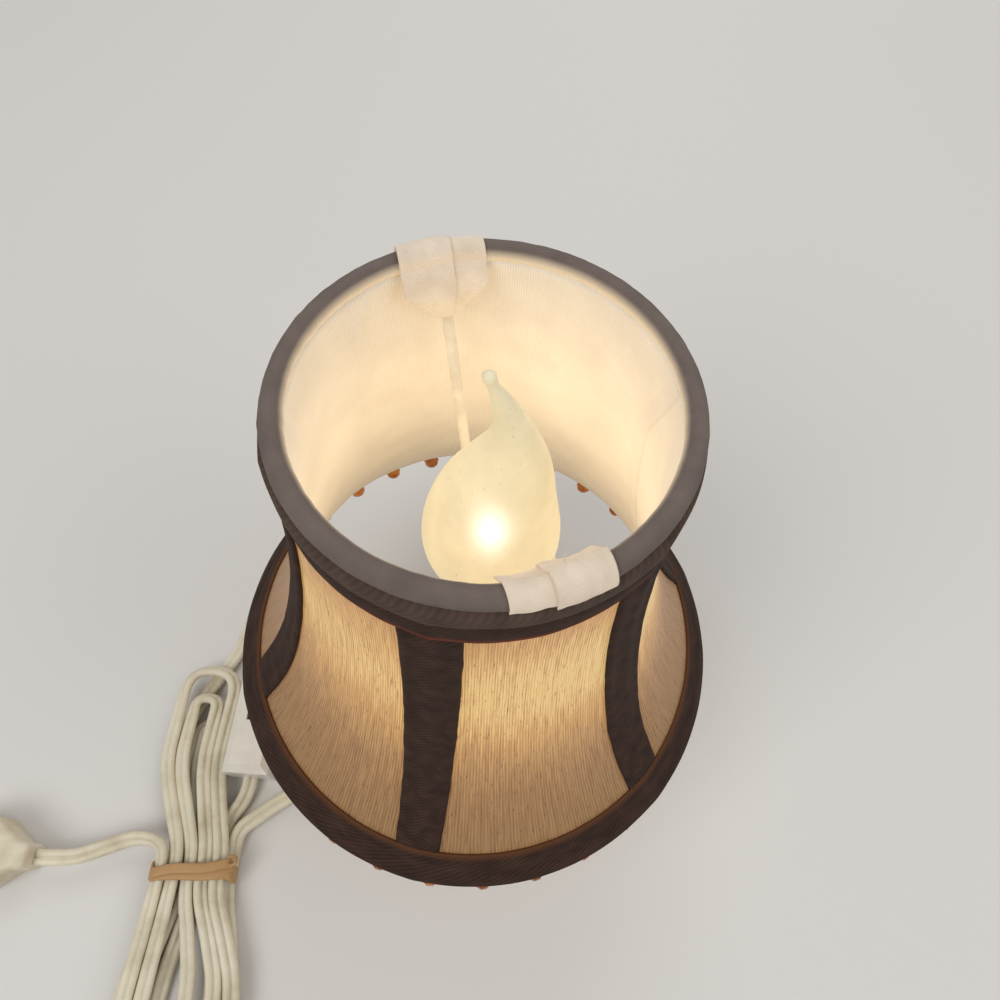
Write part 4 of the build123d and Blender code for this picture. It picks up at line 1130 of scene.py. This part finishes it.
def dress_frame():
    """Materials of the nodes that show as they are."""
    soiled = ((0.25, rgb(184, 170, 142)), (0.5, rgb(214, 203, 178)), (0.8, rgb(228, 219, 198)))
    vinyl = mottled("lead_vinyl", soiled, (70.0, 5.0, 0.6), (1800.0, 2.0), (0.52, 0.38), (0.1, 0.04),
                    Subsurface_Weight=0.05)
    darkened = ((0.30, rgb(92, 66, 34)), (0.52, rgb(150, 114, 60)), (0.75, rgb(184, 146, 84)))
    brass = mottled("aged_brass", darkened, (60.0, 5.0, 0.62), (900.0, 3.0), (0.46, 0.28), (0.12, 0.05),
                    Metallic=1.0)
    glowing = Nodes("glowing_wire", rgb(240, 200, 130), 0.4)
    glowing.emit((1.0, 0.8, 0.5), 3.0)
    looks = {
        "top_ring bottom_ring shade_ribs":
            plain("white_wire", rgb(226, 220, 208), 0.35, 900.0, 0.05, Coat_Weight=0.3),
        "fringe_threads": plain("bead_thread", rgb(150, 108, 62), 0.85, 2200.0, 0.1),
        "bulb_stem": plain("clear_glass", rgb(225, 230, 226), 0.1, 300.0, 0.02, Transmission_Weight=0.9),
        "bulb_filament": glowing.material,
        "bulb_screw_cap bulb_contact socket_shell socket_contact plug_blades switch_leaves":
            plain("bright_brass", rgb(196, 160, 92), 0.3, 1200.0, 0.03, Metallic=1.0),
        "bulb_insulator socket_body": plain("black_moulding", rgb(30, 28, 27), 0.45, 900.0, 0.05),
        "candle_sleeve": plain("candle_ivory", rgb(232, 222, 198), 0.38, 260.0, 0.12, Subsurface_Weight=0.08),
        "socket_bracket lamp_pipe pipe_washer pipe_nuts switch_screw roller_pin":
            plain("zinc_steel", rgb(168, 166, 160), 0.38, 1500.0, 0.03, Metallic=1.0),
        "base_shell candle_cup drip_pan sleeve_seat": brass,
        "base_weight": plain("cast_iron", rgb(62, 60, 60), 0.75, 500.0, 0.2, Metallic=0.6),
        "felt_pad": plain("green_felt", rgb(44, 56, 44), 0.95, 1600.0, 0.25, Sheen_Weight=0.5),
        "cord_grommet inner_lead plug_body": vinyl,
        "switch_tray switch_cover switch_roller":
            plain("white_moulding", rgb(226, 220, 206), 0.32, 700.0, 0.05, Coat_Weight=0.2),
    }
    for nodes, material in looks.items():
        for node in nodes.split():
            dress(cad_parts[node], material)
    round_edges("switch_cover", 0.5)
    round_edges("switch_tray", 0.5)
    round_edges("plug_blades", 0.25)
    return vinyl


# Stage

def make_stage():
    """Pale floor and soft light from above and both sides."""
    bpy.ops.mesh.primitive_plane_add(size=40.0, location=(0, 0, 0))
    floor = bpy.context.object
    floor.name = "floor"
    nodes = Nodes("pale_floor", rgb(214, 211, 206), 0.8)
    far = nodes.range(nodes.distance((0.0, 0.0, 0.0)), 600.0, 2600.0)
    rays = nodes.add("LightPath", {}).outputs
    mirrored = nodes.plus(rays["Is Glossy Ray"], rays["Is Transmission Ray"])
    seen = nodes.times(far, nodes.math("ADD", rays["Is Camera Ray"], mirrored, clamp=True))
    nodes.emit(nodes.shade(rgb(214, 211, 206), seen), 0.3)
    dress(floor, nodes.material)
    world = bpy.data.worlds.new("studio")
    world.use_nodes = True
    sky = world.node_tree.nodes["Background"].inputs
    sky[0].default_value = (*rgb(236, 236, 238), 1.0)
    sky[1].default_value = 0.5
    bpy.context.scene.world = world
    for name, place, size, power in (
        ("key", (-0.7, -0.7, 1.2), 0.9, 9.0),
        ("fill", (0.9, -0.3, 0.9), 0.9, 4.0),
        ("back", (0.1, 1.0, 0.9), 0.8, 4.0),
    ):
        data = bpy.data.lights.new(name, "AREA")
        data.size = size
        data.energy = power
        light = bpy.data.objects.new(name, data)
        light.location = place
        aim = Vector((0, 0, 0.1)) - light.location
        light.rotation_euler = aim.to_track_quat("-Z", "Y").to_euler()
        link(light)


def make_camera():
    data = bpy.data.cameras.new("camera")
    data.lens = CAMERA_LENS
    data.sensor_width = SENSOR
    data.clip_start = 0.005
    camera = bpy.data.objects.new("camera", data)
    back = -Vector(CAMERA_LOOKS).normalized()
    right = Vector(CAMERA_UP).cross(back).normalized()
    up = back.cross(right)
    turn = Matrix((right, up, back)).transposed().to_4x4()
    camera.matrix_world = Matrix.Translation(Vector(CAMERA) * MM) @ turn
    link(camera)
    bpy.context.scene.camera = camera
    bpy.context.scene.view_settings.view_transform = "Standard"


make_stage()
make_camera()
vinyl = dress_frame()

rubber = plain("tan_rubber", rgb(178, 138, 88), 0.55, 600.0, 0.08)
tie = make_tie(rubber)
make_lead(vinyl)

make_lining(lining_cloth())
silk_cloth = silk()
trim_cloth = brown_tape("trim_tape", 500.0, 600.0, rgb(96, 44, 22), 0.0)
for number in range(1, RIBS + 1):
    make_panel(number, silk_cloth)
    make_rib_trim(number, trim_cloth)
top_cloth = brown_tape("top_band_tape", 10.8, 12.8, rgb(98, 44, 26), 0.2, fold=5.4)
rim_cloth = brown_tape("rim_band_tape", 2.2, 0.2, rgb(88, 54, 31), 0.08)
band_piece("top_band_tape", "top_band", 44, CLOTH_TOP - 0.5, TOP_BAND_W + 0.5, top_profile, top_cloth)
band_piece("rim_band_tape", "bottom_band", 36, BELL_LENGTH - RIM_BAND_W, RIM_BAND_W, rim_profile, rim_cloth)
make_roll(roll_cloth())
make_beads(amber_glass())
make_bulb(frosted_glass())
cotton = cotton_tape()
make_tape("rear_tape", "clip_tape_rear", CLIP_REAR, cotton, [(0.0, 0.5, 0.0), (0.38, 1.0, 0.5)])
make_tape("front_tape", "clip_tape_front", CLIP_FRONT, cotton, [(0.0, 0.5, 0.0), (0.42, 1.0, 0.5)])
make_frays(cotton)
make_clip(clip_coating())
